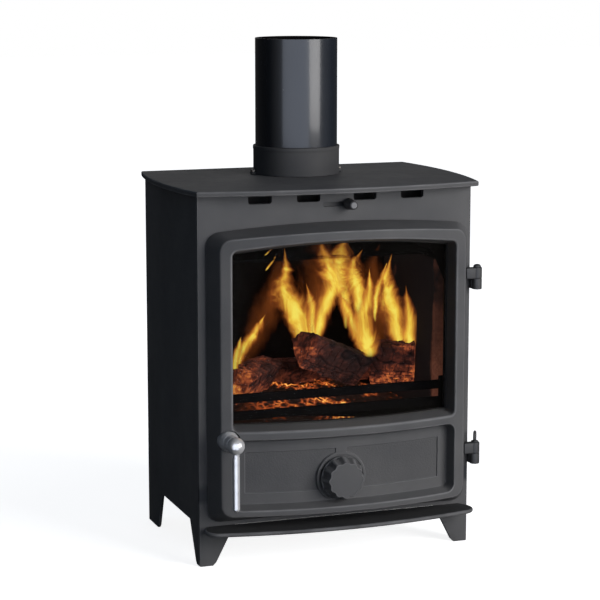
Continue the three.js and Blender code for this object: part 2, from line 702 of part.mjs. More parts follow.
// Rope seal in its groove; it just clears the front plate.
piece('door_rope', cut(
  sheetY(outline(ropeEdge(-1)), doorBack - rope.depth + gap, frontY - gap),
  sheetY(outline(ropeEdge(1)), doorFar, doorNear),
), ropeFibre);

// Hinge lugs on the body and their loose pins.
function hingeLug(z) {
  const z1 = z + hinge.knuckle;
  const web = block(sideX + gap, hingeX + hinge.armInset, hingeY, frontY + hinge.lugDepth, z, z1);
  return cut(join(web, hingeRod(z, z1, hinge.barrel)),
    hingeRod(z - over, z1 + over, hinge.pin + gap, 16));
}
const pinTop = (z) => z + 2 * hinge.knuckle + 2 * gap;
const pinShank = (z) => hingeRod(z, pinTop(z) + 2, hinge.pin, 16);
function domedPin() {
  const top = pinTop(hingeHeights.upper);
  const dome = new THREE.SphereGeometry(hinge.head, 16, 10).scale(1, 1, hinge.dome)
    .translate(hingeX, hingeY, top);
  const upperHalf = hingeRod(top, top + 2 * hinge.head, 2 * hinge.head);
  return pinShank(hingeHeights.upper).add(solid(dome).intersect(upperHalf));
}
function ringPin() {
  const top = pinTop(hingeHeights.lower);
  const torus = new THREE.TorusGeometry(hinge.ring, hinge.ringWire, 6, 16).rotateY(Math.PI / 2)
    .rotateZ(-0.5).translate(hingeX, hingeY, top + hinge.ring + 0.8 * hinge.ringFoot);
  const foot = hingeRod(top, top + hinge.ringFoot, hinge.head - 0.5, 16);
  return join(pinShank(hingeHeights.lower), foot, solid(torus));
}
piece('hinge_lug_upper', hingeLug(hingeHeights.upper), paint);
piece('hinge_lug_lower', hingeLug(hingeHeights.lower), paint);
piece('hinge_pin_upper', domedPin(), paint);
piece('hinge_pin_lower', ringPin(), paint);

// Handle ------------------------------------------------------------------------------------

const handleY = frontY - handle.ballReach;
const handlePart = (reach, y1, radius, sides) =>
  rodY(handleX, handleZ, frontY - reach, y1, radius, sides);
const camFront = frontY + body.front + gap + cam.play;
const camBack = camFront + cam.thickness;

function ballSolid(grow = 0) {
  const ball = new THREE.SphereGeometry(handle.ballRadius + grow, 20, 12);
  return solid(ball.translate(handleX, handleY, handleZ));
}
function handleHub() {
  const seatY = frontY - handle.collarSeat - gap;
  const collarPart = handlePart(handle.collarStep, seatY, handle.collarRadius, 24);
  const neck = handlePart(handle.ballReach - handle.neckSink, frontY - handle.collarStep,
    handle.neckRadius, 24);
  const spindle = rodY(handleX, handleZ, seatY, camBack + gap + cam.nut + handle.spindleTip,
    handle.spindle, 16);
  return cut(join(collarPart, neck, spindle), ballSolid(gap));
}
function handleRod() {
  const tip = handleZ - handle.rodLength + handle.rodRadius;
  const end = new THREE.SphereGeometry(handle.rodRadius, 12, 8).translate(handleX, handleY, tip);
  const shaft = rodZ(handleX, handleY, tip, handleZ, handle.rodRadius, 12);
  return cut(join(shaft, solid(end)), ballSolid(gap));
}
function latchCam() {
  const half = cam.hub - cam.flank;
  const hub = rodY(handleX, handleZ, camFront, camBack, cam.hub, 24);
  const arm = block(handleX - half, handleX + half, camFront, camBack, handleZ - cam.length, handleZ);
  return cut(hub.add(arm), handleBore(camFront - over, camBack + over));
}
function latchNut() {
  const y0 = camBack + gap;
  const nut = rodY(handleX, handleZ, y0, y0 + cam.nut, cam.hub - cam.nutInset, 6);
  return cut(nut, handleBore(y0 - over, y0 + cam.nut + over));
}
piece('handle_hub', handleHub(), chrome);
piece('handle_ball', ballSolid(), chrome);
piece('handle_rod', handleRod(), chrome);
piece('latch_cam', latchCam(), steel);
piece('latch_nut', latchNut(), steel);

// Air wheel ---------------------------------------------------------------------------------

const discBack = wheelY - gap;
const discFront = discBack - wheel.discThickness;
const knobBack = discFront - gap;
const knobFront = knobBack - wheel.knobDepth;
const studTip = knobBack - wheel.studReach;
const skinBack = wheelY + recess.skin + gap;

function airDisc() {
  return cut(wheelRod(discFront, discBack, wheel.disc, 40),
    wheelRod(discFront - over, discBack + over, wheel.stud + gap, 16));
}
function spinWheel() {
  const steps = 72;
  const lobed = (scale) => Array.from({ length: steps }, (_, i) => {
    const angle = (i / steps) * 2 * Math.PI;
    const radius = (wheel.knob + wheel.lobe * Math.cos(wheel.lobes * angle)) * scale;
    return [wheelX + radius * Math.cos(angle), wheelZ + radius * Math.sin(angle)];
  });
  const rings = [
    [knobBack, wheel.flare - 0.06], [knobBack - wheel.knobRound, wheel.flare],
    [knobFront + wheel.knobChamfer, 1], [knobFront, 0.98],
  ];
  const shell = loft(rings.map(([y, scale]) =>
    lobed(scale).map(([x, z]) => new THREE.Vector3(x, y, z))));
  return cut(shell, wheelRod(studTip - wheel.boreEnd, knobBack + over, wheel.stud + gap, 16));
}
function studNut() {
  return cut(wheelRod(skinBack, skinBack + wheel.nutDepth, wheel.nut, 6),
    wheelRod(skinBack - over, skinBack + wheel.nutDepth + over, wheel.stud + gap, 16));
}
piece('air_disc', airDisc(), paint);
piece('spin_wheel', spinWheel(), paint);
piece('wheel_stud', wheelRod(studTip, skinBack + wheel.studTail, wheel.stud, 16), steel);
piece('wheel_nut', studNut(), steel);

// Air-wash slider ---------------------------------------------------------------------------

const sliderBack = innerFront + airwash.plate;
const sliderHalf = notch.outer + airwash.plateEnd;
const sliderTop = body.height - airwash.plateDrop;
const sliderFoot = sliderTop - airwash.plateHeight;

// The slider stands at one end of its travel, so its ports are half behind the plate.
function airwashPlate() {
  const x = airwash.travel;
  const plate = block(x - sliderHalf, x + sliderHalf, innerFront, sliderBack, sliderFoot, sliderTop);
  const range = [innerFront - over, sliderBack + over];
  const ports = notches.map((centre) => block(centre - notch.width / 2, centre + notch.width / 2,
    ...range, body.height - notch.depth, body.height - airwash.portDrop));
  return cut(plate, rodY(x, airwashZ, ...range, airwash.rod + gap, 16), ...ports);
}
function airwashKnob() {
  const x = airwash.travel;
  const back = frontY - airwash.knobGap;
  const head = rodY(x, airwashZ, back - airwash.knobLength, back, airwash.knobFront, 24,
    airwash.knobRear);
  return head.add(rodY(x, airwashZ, back, sliderBack, airwash.rod, 16));
}
function airwashDuct() {
  const y1 = frontY + body.front + airwash.ductDepth;
  const z0 = body.height - airwash.ductDrop;
  return join(
    block(-innerX, innerX, innerFront + airwash.ductFront, y1, z0, z0 + airwash.ductWall),
    block(-innerX, innerX, y1 - airwash.ductWall, y1, z0, panelTop));
}
function airwashClip(side) {
  const x = side * (sliderHalf - airwash.travel - airwash.clip);
  const half = airwash.clip / 2;
  const z0 = sliderFoot - airwash.clipFoot;
  const back = sliderBack + gap + airwash.clipWall;
  return join(
    block(x - half, x + half, innerFront, back, z0, sliderFoot - gap),
    block(x - half, x + half, sliderBack + gap, back, z0, sliderFoot + airwash.clipLap));
}
piece('airwash_plate', airwashPlate(), steel);
piece('airwash_knob', airwashKnob(), paint);
piece('airwash_duct', airwashDuct(), iron);
piece('airwash_clip_left', airwashClip(-1), steel);
piece('airwash_clip_right', airwashClip(1), steel);

// Ash pan -----------------------------------------------------------------------------------

const panFoot = doorway.bottom + gap;
const panFront = innerFront + pan.frontGap;
function ashPan() {
  const half = innerX - pan.sideGap;
  const back = innerBack - pan.backGap;
  const top = panFoot + pan.height;
  const tray = block(-half, half, panFront, back, panFoot, top);
  return cut(tray, block(pan.wall - half, half - pan.wall, panFront + pan.wall, back - pan.wall,
    panFoot + pan.wall, top + over));
}
function panGrip() {
  const z = panFoot + pan.height * pan.gripShare;
  const half = pan.grip / 2;
  const bar = pan.gripBar;
  const front = panFront - pan.gripReach;
  return cut(block(-half, half, front, panFront - gap, z - bar / 2, z + bar / 2),
    block(bar - half, half - bar, front + pan.gripFront, panFront + over, z - bar, z + bar));
}
piece('ash_pan', ashPan(), steel);
piece('ash_pan_grip', panGrip(), steel);

// The floor under the middle of the stove's outer box becomes the origin.
stove.updateMatrixWorld(true);
const box = new THREE.Box3().setFromObject(stove);
stove.position.set(-(box.min.x + box.max.x) / 2, -(box.min.y + box.max.y) / 2, -box.min.z);
stove.updateMatrixWorld(true);

export default stove;
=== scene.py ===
import math

import bmesh
import bpy
from mathutils import Euler, Matrix, Vector, noise
from mathutils.geometry import delaunay_2d_cdt


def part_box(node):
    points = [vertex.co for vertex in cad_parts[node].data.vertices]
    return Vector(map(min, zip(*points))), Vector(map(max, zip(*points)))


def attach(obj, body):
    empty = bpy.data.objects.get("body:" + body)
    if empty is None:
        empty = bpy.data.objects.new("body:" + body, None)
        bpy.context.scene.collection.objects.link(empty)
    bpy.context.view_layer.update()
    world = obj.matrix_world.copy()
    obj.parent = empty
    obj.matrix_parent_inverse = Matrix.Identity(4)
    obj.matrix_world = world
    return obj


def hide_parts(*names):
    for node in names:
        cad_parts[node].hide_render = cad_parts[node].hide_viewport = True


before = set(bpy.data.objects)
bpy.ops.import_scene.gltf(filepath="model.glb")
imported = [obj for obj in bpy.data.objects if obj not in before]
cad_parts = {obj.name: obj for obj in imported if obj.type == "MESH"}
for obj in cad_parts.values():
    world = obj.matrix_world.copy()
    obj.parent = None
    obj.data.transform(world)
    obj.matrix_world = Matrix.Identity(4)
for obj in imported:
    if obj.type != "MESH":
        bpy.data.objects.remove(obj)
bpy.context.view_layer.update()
mm = 0.001

print("stage: camera, floor and lamps")

camera = {
    "place": (-1083.6, -3007.2, 914.4), "yaw": 19.46, "pitch": 9.59, "lens": 126.5,
}
studio = {
    "floor": 0.93, "floorSeenByLight": 0.30, "floorShown": 0.86, "ambient": 0.09,
    "ambientTint": (0.62, 0.83, 1.12, 1), "background": 1.0, "glossFront": 0.6, "glossBack": 0.04,
    "key": {
        "place": (1750, -2500, 1150), "aim": (0, 0, 380), "width": 1900, "height": 2000, "power": 96,
        "tint": (1, 0.985, 0.985),
    },
    "sheen": {
        "place": (-880, -2350, 400), "aim": (0, 0, 400), "width": 3900, "height": 3700, "power": 108,
        "tint": (0.84, 0.92, 1.1),
    },
    "rear": {
        "place": (500, 2600, 1700), "aim": (0, 0, 400), "width": 1800, "height": 1500, "power": 4.6,
        "tint": (1, 0.98, 0.96),
    },
}


def addCamera():
    data = bpy.data.cameras.new("photoCamera")
    data.lens = camera["lens"]
    data.sensor_width = 36
    data.clip_end = 60
    viewer = bpy.data.objects.new("photoCamera", data)
    viewer.location = Vector(camera["place"]) * mm
    viewer.rotation_euler = (math.radians(90 - camera["pitch"]), 0, -math.radians(camera["yaw"]))
    bpy.context.collection.objects.link(viewer)
    bpy.context.scene.camera = viewer


def addLamp(name, facts, glossyOnly=False):
    data = bpy.data.lights.new(name, "AREA")
    data.shape = "RECTANGLE"
    data.size = facts["width"] * mm
    data.size_y = facts["height"] * mm
    data.energy = facts["power"]
    data.color = facts["tint"]
    lamp = bpy.data.objects.new(name, data)
    lamp.location = Vector(facts["place"]) * mm
    aim = Vector(facts["aim"]) * mm - lamp.location
    lamp.rotation_euler = aim.to_track_quat("-Z", "Y").to_euler()
    lamp.visible_camera = False
    lamp.visible_diffuse = not glossyOnly
    bpy.context.collection.objects.link(lamp)




class Recipe:
    # A node material written as short calls; values go straight on the sockets.
    def __init__(self, name, **shader):
        self.material = bpy.data.materials.new(name)
        self.material.use_nodes = True
        self.tree = self.material.node_tree
        self.tree.nodes.clear()
        self.output = self.add("ShaderNodeOutputMaterial")
        self.shader = self.add("ShaderNodeBsdfPrincipled", **shader)
        self.join(self.shader, 0, self.output, 0)
        self.place = self.add("ShaderNodeTexCoord").outputs["Object"]

    def add(self, kind, settings=None, **values):
        node = self.tree.nodes.new(kind)
        for key, value in (settings or {}).items():
            setattr(node, key, value)
        for key, value in values.items():
            socket = node.inputs[key.replace("_", " ")]
            if isinstance(value, bpy.types.NodeSocket):
                self.tree.links.new(value, socket)
            else:
                socket.default_value = value
        return node

    def join(self, source, output, target, entry):
        start = source if isinstance(source, bpy.types.NodeSocket) else source.outputs[output]
        self.tree.links.new(start, target.inputs[entry])

    def noise(self, scale, detail=3.0, rough=0.5, vector=None, distortion=0.0):
        node = self.add("ShaderNodeTexNoise", Scale=scale, Detail=detail, Roughness=rough,
                        Distortion=distortion, Vector=vector or self.place)
        return node.outputs["Fac"]

    def spread(self, value, low, high, start=0.0, end=1.0):
        # Maps the range low to high onto start to end.
        limits = {"From_Min": low, "From_Max": high, "To_Min": start, "To_Max": end}
        return self.add("ShaderNodeMapRange", Value=value, **limits).outputs[0]

    def ramp(self, factor, *stops):
        node = self.add("ShaderNodeValToRGB", Fac=factor)
        band = node.color_ramp
        while len(band.elements) < len(stops):
            band.elements.new(0.5)
        for element, (position, colour) in zip(band.elements, stops):
            element.position = position
            element.color = (*colour, 1) if isinstance(colour, tuple) else (colour, colour, colour, 1)
        return node.outputs["Color"]

    def mix(self, factor, first, second, blend="MIX"):
        node = self.add("ShaderNodeMix", {"data_type": "RGBA", "blend_type": blend})
        for index, value in ((0, factor), (6, first), (7, second)):
            socket = node.inputs[index]
            if isinstance(value, bpy.types.NodeSocket):
                self.tree.links.new(value, socket)
            else:
                socket.default_value = (*value, 1) if isinstance(value, tuple) else value
        return node.outputs[2]

    def sum(self, operation, first, second=0.5, clamp=False):
        node = self.add("ShaderNodeMath", {"operation": operation, "use_clamp": clamp})
        for index, value in ((0, first), (1, second)):
            if isinstance(value, bpy.types.NodeSocket):
                self.tree.links.new(value, node.inputs[index])
            else:
                node.inputs[index].default_value = value
        return node.outputs[0]

    def times(self, first, second, clamp=False):
        return self.sum("MULTIPLY", first, second, clamp)

    def attribute(self, name):
        return self.add("ShaderNodeAttribute", {"attribute_name": name}).outputs["Fac"]

    def bump(self, height, strength, distance):
        node = self.add("ShaderNodeBump", Strength=strength, Distance=distance * mm, Height=height)
        if self.shader.inputs["Normal"].is_linked:
            self.join(self.shader.inputs["Normal"].links[0].from_socket, 0, node, "Normal")
        self.join(node, 0, self.shader, "Normal")

    def colour(self, socket):
        self.join(socket, 0, self.shader, "Base Color")

    def rough(self, factor, low, high):
        node = self.add("ShaderNodeMapRange", Value=factor, To_Min=low, To_Max=high)
        self.join(node, 0, self.shader, "Roughness")


def floorMaterial():
    # Pale to the camera and darker to the light it throws back, so that undersides stay deep.
    recipe = Recipe("studioFloor", Roughness=0.9, Specular_IOR_Level=0.0)
    speck = recipe.noise(40, 4)
    pale = studio["floor"]
    tone = recipe.ramp(speck, (0.3, pale - 0.01), (0.7, pale))
    seen = recipe.add("ShaderNodeLightPath").outputs["Is Camera Ray"]
    dim = (studio["floorSeenByLight"],) * 3
    recipe.colour(recipe.mix(seen, dim, tone))
    reach = recipe.add(
        "ShaderNodeVectorMath", {"operation": "LENGTH"}, Vector=recipe.place
    ).outputs["Value"]
    shown = recipe.add("ShaderNodeMapRange", Value=reach, From_Min=0.5, From_Max=1.6,
                       To_Min=studio["floorShown"], To_Max=1.0).outputs[0]
    recipe.shader.inputs["Emission Color"].default_value = (1, 1, 1, 1)
    recipe.join(recipe.times(seen, shown), 0, recipe.shader, "Emission Strength")
    return recipe.material


def addFloor():
    mesh = bpy.data.meshes.new("floor")
    half = 14
    mesh.from_pydata(
        [(-half, -half, 0), (half, -half, 0), (half, half, 0), (-half, half, 0)], [], [(0, 1, 2, 3)]
    )
    floor = bpy.data.objects.new("floor", mesh)
    mesh.materials.append(floorMaterial())
    floor.visible_glossy = False
    bpy.context.collection.objects.link(floor)


def addWorld():
    # White to the camera; to glossy rays bright in front and dark behind and below, as between flags.
    world = bpy.data.worlds.new("studioWorld")
    bpy.context.scene.world = world
    world.use_nodes = True
    tree = world.node_tree
    tree.nodes.clear()

    def add(kind, *values, **settings):
        node = tree.nodes.new(kind)
        for key, value in settings.items():
            setattr(node, key, value)
        for socket, value in zip(node.inputs, values):
            if isinstance(value, bpy.types.NodeSocket):
                tree.links.new(value, socket)
            else:
                socket.default_value = value
        return node

    path = add("ShaderNodeLightPath").outputs
    view = add("ShaderNodeSeparateXYZ", add("ShaderNodeTexCoord").outputs["Generated"]).outputs
    front = add("ShaderNodeMapRange", view["Y"], -0.75, 0.1, studio["glossFront"], studio["glossBack"])
    band = add("ShaderNodeMapRange", view["Z"], -0.5, -0.3, 0.05, 1.0)
    gloss = add("ShaderNodeMath", front.outputs[0], band.outputs[0], operation="MULTIPLY")
    white = (1, 1, 1, 1)
    ambient = add("ShaderNodeBackground", studio["ambientTint"], studio["ambient"]).outputs[0]
    shiny = add("ShaderNodeBackground", white, gloss.outputs[0]).outputs[0]
    shown = add("ShaderNodeBackground", white, studio["background"]).outputs[0]
    first = add("ShaderNodeMixShader", path["Is Glossy Ray"], ambient, shiny).outputs[0]
    clear = add("ShaderNodeMath", path["Is Camera Ray"], path["Is Transmission Ray"], operation="MAXIMUM")
    blend = add("ShaderNodeMixShader", clear.outputs[0], first, shown)
    add("ShaderNodeOutputWorld", blend.outputs[0])


addCamera()
addFloor()
addWorld()
addLamp("keyLamp", studio["key"])
addLamp("sheenPanel", studio["sheen"], glossyOnly=True)
addLamp("rearLamp", studio["rear"])
bpy.context.scene.view_settings.view_transform = "Standard"

print("stage: materials")

paintTones = {
    "dark": (0.082, 0.083, 0.087), "light": (0.116, 0.115, 0.116), "wearAndPaintedLight": (0.21, 0.21, 0.215),
    "roughness": (0.5, 0.66),
}


def stovePaint(name, grain, grainDepth, sheen=0.12, tone=1.0, shaded=False):
    # Matte heat paint: fine sprayed grain, soft clouds of tone and slightly varied sheen.
    # The shaded one gets a painted shadow in the narrow band between the door and the hearth lip, where the
    # door shades the plate.
    recipe = Recipe(name, Specular_IOR_Level=sheen)
    clouds = recipe.noise(9, 4, 0.55)
    fine = recipe.noise(grain, 2, 0.6)
    dark = tuple(v * tone for v in paintTones["dark"])
    light = tuple(v * tone for v in paintTones["light"])
    base = recipe.ramp(clouds, (0.28, dark), (0.72, light))
    sprayed = recipe.mix(0.10, base, recipe.ramp(fine, (0.35, 0.02), (0.65, 0.25)), "OVERLAY")
    # Wear and painted highlight: narrow rounded outward edges are mixed towards a lighter tone, partly
    # rubbed paint and partly painted light catching the edges.
    patches = recipe.ramp(recipe.noise(24, 3), (0.3, 0.25), (0.7, 0.75))
    wearAndHighlightMask = recipe.times(recipe.attribute("wearAndHighlight"), patches)
    wearAndPaintedLight = recipe.mix(wearAndHighlightMask, sprayed, paintTones["wearAndPaintedLight"])
    if shaded:
        # Painted shadow: a near-black band, set by height, on the plate just below the door.
        height = recipe.add("ShaderNodeSeparateXYZ", Vector=recipe.place).outputs["Z"]
        paintedShadow = recipe.ramp(height, (0.095, 0.0), (0.1, 0.8), (0.116, 0.8), (0.128, 0.0))
        wearAndPaintedLight = recipe.mix(paintedShadow, wearAndPaintedLight, (0.008, 0.010, 0.014))
    recipe.colour(wearAndPaintedLight)
    recipe.rough(recipe.noise(60, 3), *paintTones["roughness"])
    recipe.bump(fine, 0.35, grainDepth)
    recipe.bump(recipe.noise(55, 2), 0.12, 0.4)
    return recipe.material


def pipeEnamel():
    # Glossy blue-black enamel with faint waves from the rolled steel under it.
    recipe = Recipe("pipeEnamel", IOR=1.36, Coat_Weight=0.25, Coat_Roughness=0.08)
    waves = recipe.noise(7, 2)
    recipe.colour(recipe.ramp(waves, (0.3, (0.010, 0.013, 0.019)), (0.7, (0.015, 0.019, 0.027))))
    recipe.rough(recipe.noise(40, 3), 0.2, 0.3)
    recipe.bump(waves, 0.2, 1.5)
    recipe.bump(recipe.noise(700, 2), 0.05, 0.05)
    return recipe.material


def polishedChrome():
    recipe = Recipe("polishedChrome", Metallic=0.38)
    smear = recipe.noise(90, 4, 0.6)
    recipe.colour(recipe.ramp(smear, (0.2, (0.56, 0.56, 0.57)), (0.8, (0.74, 0.74, 0.75))))
    recipe.rough(smear, 0.16, 0.30)
    recipe.bump(recipe.noise(500, 2), 0.05, 0.03)
    return recipe.material


def castIron():
    recipe = Recipe("castIron", Specular_IOR_Level=0.3, Metallic=0.2)
    soot = recipe.noise(25, 5, 0.6)
    recipe.colour(recipe.ramp(soot, (0.3, (0.010, 0.009, 0.009)), (0.75, (0.035, 0.031, 0.029))))
    recipe.rough(soot, 0.6, 0.85)
    recipe.bump(recipe.noise(420, 3, 0.7), 0.5, 0.35)
    return recipe.material


def sootCrust():
    recipe = Recipe("sootCrust", Specular_IOR_Level=0.04, Roughness=0.95)
    cover = recipe.noise(30, 4)
    recipe.colour(recipe.ramp(cover, (0.3, (0.0022, 0.0022, 0.0025)), (0.75, (0.007, 0.006, 0.006))))
    recipe.bump(recipe.noise(300, 3, 0.7), 0.5, 0.4)
    return recipe.material


def plainSteel(name, colour=(0.30, 0.30, 0.31)):
    recipe = Recipe(name, Metallic=0.9)
    streaks = recipe.add("ShaderNodeMapping", Vector=recipe.place, Scale=(60, 60, 900)).outputs[0]
    lines = recipe.noise(1, 3, 0.6, streaks)
    tint = recipe.noise(14, 3)
    low = tuple(v * 0.6 for v in colour)
    base = recipe.ramp(tint, (0.3, low), (0.7, colour))
    recipe.colour(recipe.mix(0.35, base, recipe.ramp(lines, (0.3, 0.1), (0.7, 0.5)), "OVERLAY"))
    recipe.rough(lines, 0.34, 0.55)
    recipe.bump(lines, 0.2, 0.06)
    return recipe.material


def fireBrick(name, glow, tone=1.0):
    # Pressed vermiculite board, sooted towards the top, with a painted red glow of firelight: the board's
    # own colour is emitted.
    recipe = Recipe(name, Specular_IOR_Level=0.1, Roughness=0.95)
    grit = recipe.noise(260, 4, 0.7)
    stain = recipe.noise(11, 4, 0.6)
    parts = recipe.add("ShaderNodeSeparateXYZ", Vector=recipe.place).outputs
    upper = recipe.spread(parts["Z"], 0.2, 0.46, 0.1, 0.8)
    deep = recipe.spread(parts["Y"], -0.082, -0.06, 0.0, 2.4)
    soot = recipe.sum("ADD", upper, deep)
    low, high = (tuple(v * tone for v in c) for c in ((0.16, 0.047, 0.026), (0.34, 0.12, 0.07)))
    warm = recipe.ramp(grit, (0.3, low), (0.7, high))
    cover = recipe.times(soot, stain, clamp=True)
    sooted = recipe.mix(cover, warm, (0.006, 0.004, 0.004))
    recipe.colour(sooted)
    # Painted firelight: the board's colour is also emitted at the strength glow.
    if glow:
        recipe.join(sooted, 0, recipe.shader, "Emission Color")
        recipe.shader.inputs["Emission Strength"].default_value = glow
    recipe.bump(grit, 0.6, 0.8)
    recipe.bump(stain, 0.3, 1.5)
    return recipe.material


def charredLog():
    # Black char with ash on its faces; its cracks glow where the attribute burning is high.
    recipe = Recipe("charredLog", Specular_IOR_Level=0.15, Roughness=0.9)
    crack = recipe.attribute("crack")
    heat = recipe.attribute("burning")
    grain = recipe.noise(160, 5, 0.65)
    stain = recipe.noise(30, 4, 0.6)
    char = recipe.ramp(
        stain, (0.3, (0.006, 0.004, 0.004)), (0.62, (0.018, 0.009, 0.007)), (0.8, (0.032, 0.018, 0.014)))
    recipe.colour(recipe.mix(crack, char, (0.004, 0.002, 0.002)))
    blotch = recipe.ramp(stain, (0.34, 0.16), (0.64, 1.0))
    speckle = recipe.ramp(grain, (0.36, 0.4), (0.64, 1.15))
    face = recipe.times(recipe.times(heat, blotch), speckle)
    face = recipe.times(face, recipe.sum("SUBTRACT", 1.0, recipe.times(crack, 0.95)))
    lit = recipe.ramp(stain, (0.5, 0.0), (0.66, 1.0))
    seam = recipe.times(recipe.times(crack, heat), lit)
    total = recipe.sum("ADD", face, seam, clamp=True)
    ember = recipe.ramp(
        total, (0.0, (0.0, 0.0, 0.0)), (0.14, (0.026, 0.007, 0.005)), (0.30, (0.10, 0.022, 0.011)),
        (0.50, (0.34, 0.075, 0.026)), (0.75, (0.72, 0.22, 0.045)), (1.0, (0.95, 0.42, 0.09)))
    recipe.join(ember, 0, recipe.shader, "Emission Color")
    recipe.shader.inputs["Emission Strength"].default_value = 1.0
    recipe.bump(grain, 0.7, 1.0)
    return recipe.material


def glowingCoal():
    # Ash grey on top, orange where the heat breaks through between the lumps.
    recipe = Recipe("glowingCoal", Specular_IOR_Level=0.1, Roughness=0.95)
    lumps = recipe.add(
        "ShaderNodeTexVoronoi", {"feature": "DISTANCE_TO_EDGE"}, Scale=95, Vector=recipe.place
    )
    cells = lumps.outputs["Distance"]
    patches = recipe.noise(16, 4, 0.6)
    ash = recipe.noise(120, 5)
    recipe.colour(recipe.ramp(ash, (0.3, (0.004, 0.003, 0.003)), (0.7, (0.034, 0.027, 0.025))))
    seams = recipe.ramp(cells, (0.0, 1.0), (0.10, 0.45), (0.26, 0.0))
    side = recipe.add("ShaderNodeSeparateXYZ", Vector=recipe.place).outputs["X"]
    reach = recipe.spread(side, -0.11, -0.05, 0.1)
    glow = recipe.times(recipe.ramp(patches, (0.50, 0.0), (0.62, 1.0)), reach)
    hot = recipe.times(seams, glow)
    ember = recipe.ramp(
        hot, (0.0, (0.006, 0.002, 0.001)), (0.3, (0.30, 0.055, 0.012)), (0.75, (0.85, 0.33, 0.06)),
        (1.0, (1.0, 0.62, 0.16)))
    recipe.join(ember, 0, recipe.shader, "Emission Color")
    recipe.shader.inputs["Emission Strength"].default_value = 1.6
    recipe.bump(recipe.noise(260, 4, 0.7), 0.8, 1.2)
    return recipe.material


def flameGas():
    # Hot towards the middle of each tongue, thin and orange at its edge; UV runs across and along it.
    recipe = Recipe("flameGas", Roughness=1.0, Specular_IOR_Level=0.0, Base_Color=(0, 0, 0, 1))
    uv = recipe.add("ShaderNodeUVMap", {"uv_map": "flow"}).outputs[0]
    parts = recipe.add("ShaderNodeSeparateXYZ", Vector=uv)
    doubled = recipe.times(parts.outputs["X"], 2.0)
    across = recipe.sum("ABSOLUTE", recipe.sum("SUBTRACT", doubled, 1.0))
    along = parts.outputs["Y"]
    warp = recipe.add("ShaderNodeMapping", Vector=recipe.place, Scale=(42, 42, 13)).outputs[0]
    streaks = recipe.noise(1.0, 4, 0.55, warp, 1.2)
    body = recipe.sum("SUBTRACT", 1.0, recipe.sum("POWER", across, 1.15))
    body = recipe.sum("ADD", body, recipe.times(recipe.sum("SUBTRACT", streaks, 0.5), 1.5))
    thinned = recipe.times(recipe.sum("POWER", along, 2.5), 0.5)
    body = recipe.sum("SUBTRACT", body, thinned, clamp=True)
    body = recipe.times(body, recipe.attribute("dense"))
    foot = recipe.spread(along, 0.0, 0.24)
    heat = recipe.ramp(
        body, (0.0, (0.22, 0.05, 0.014)), (0.30, (0.40, 0.10, 0.020)), (0.55, (0.70, 0.27, 0.036)),
        (0.78, (0.90, 0.56, 0.06)), (1.0, (0.98, 0.80, 0.12)))
    recipe.join(heat, 0, recipe.shader, "Emission Color")
    recipe.shader.inputs["Emission Strength"].default_value = 1.0
    cover = recipe.ramp(body, (0.05, 0.0), (0.30, 0.16), (0.55, 0.5), (0.85, 0.85))
    recipe.join(recipe.times(cover, foot, clamp=True), 0, recipe.shader, "Alpha")
    return recipe.material


def ropeFibre():
    recipe = Recipe("ropeFibre", Roughness=0.95, Specular_IOR_Level=0.1)
    thread = recipe.noise(900, 3, 0.7)
    recipe.colour(recipe.ramp(thread, (0.3, (0.018, 0.018, 0.018)), (0.7, (0.065, 0.062, 0.058))))
    recipe.bump(thread, 0.7, 0.4)
    return recipe.material


def stoveGlass():
    # Clear pane with a thin breath of soot that gathers at its edge.
    recipe = Recipe(
        "stoveGlass", Roughness=0.04, Specular_IOR_Level=0.02, Base_Color=(0.01, 0.009, 0.008, 1)
    )
    haze = recipe.noise(18, 4, 0.6)
    edge = recipe.attribute("edge")
    film = recipe.ramp(haze, (0.35, 0.015), (0.75, 0.05))
    rim = recipe.times(recipe.times(edge, haze), 0.5)
    thick = recipe.sum("ADD", film, rim, clamp=True)
    recipe.join(thick, 0, recipe.shader, "Alpha")
    return recipe.material


materials = {
    "paint": stovePaint("heatPaint", 900, 0.10),
    "stipple": stovePaint("stippledPaint", 380, 1.5, tone=0.86),
    "topPaint": stovePaint("topPlatePaint", 700, 0.14, tone=0.95),
    "frontPaint": stovePaint("frontPlatePaint", 900, 0.10, shaded=True),
    "collarPaint": stovePaint("collarPaint", 600, 0.16, tone=0.62),
    # The lip's paint is a darker copy of the stove paint: painted shade from the door overhanging the lip.
    "lipShadedPaint": stovePaint("lipShadedPaint", 700, 0.14, tone=0.36),
    "knobPaint": stovePaint("knobPaint", 1100, 0.06, 0.4, 0.42),
    "hingePaint": stovePaint("hingePaint", 800, 0.12, 0.35, 0.40),
    "enamel": pipeEnamel(),
    "chrome": polishedChrome(),
    "iron": castIron(),
    "soot": sootCrust(),
    "steel": plainSteel("plainSteel"),
    "darkSteel": plainSteel("heatedSteel", (0.12, 0.11, 0.10)),
    "slidePlate": stovePaint("slidePlatePaint", 900, 0.08, tone=0.9),
    "slideFace": stovePaint("slideFacePaint", 900, 0.08, 0.5, 1.8),
    # The side bricks carry a painted firelight glow; the rear copy is darker and has almost none.
    "brick": fireBrick("fireBrick", 0.75),
    "rearBrick": fireBrick("rearFireBrick", 0.02, 0.12),
    "log": charredLog(),
    "coal": glowingCoal(),
    "flame": flameGas(),
    "rope": ropeFibre(),
    "glass": stoveGlass(),
}



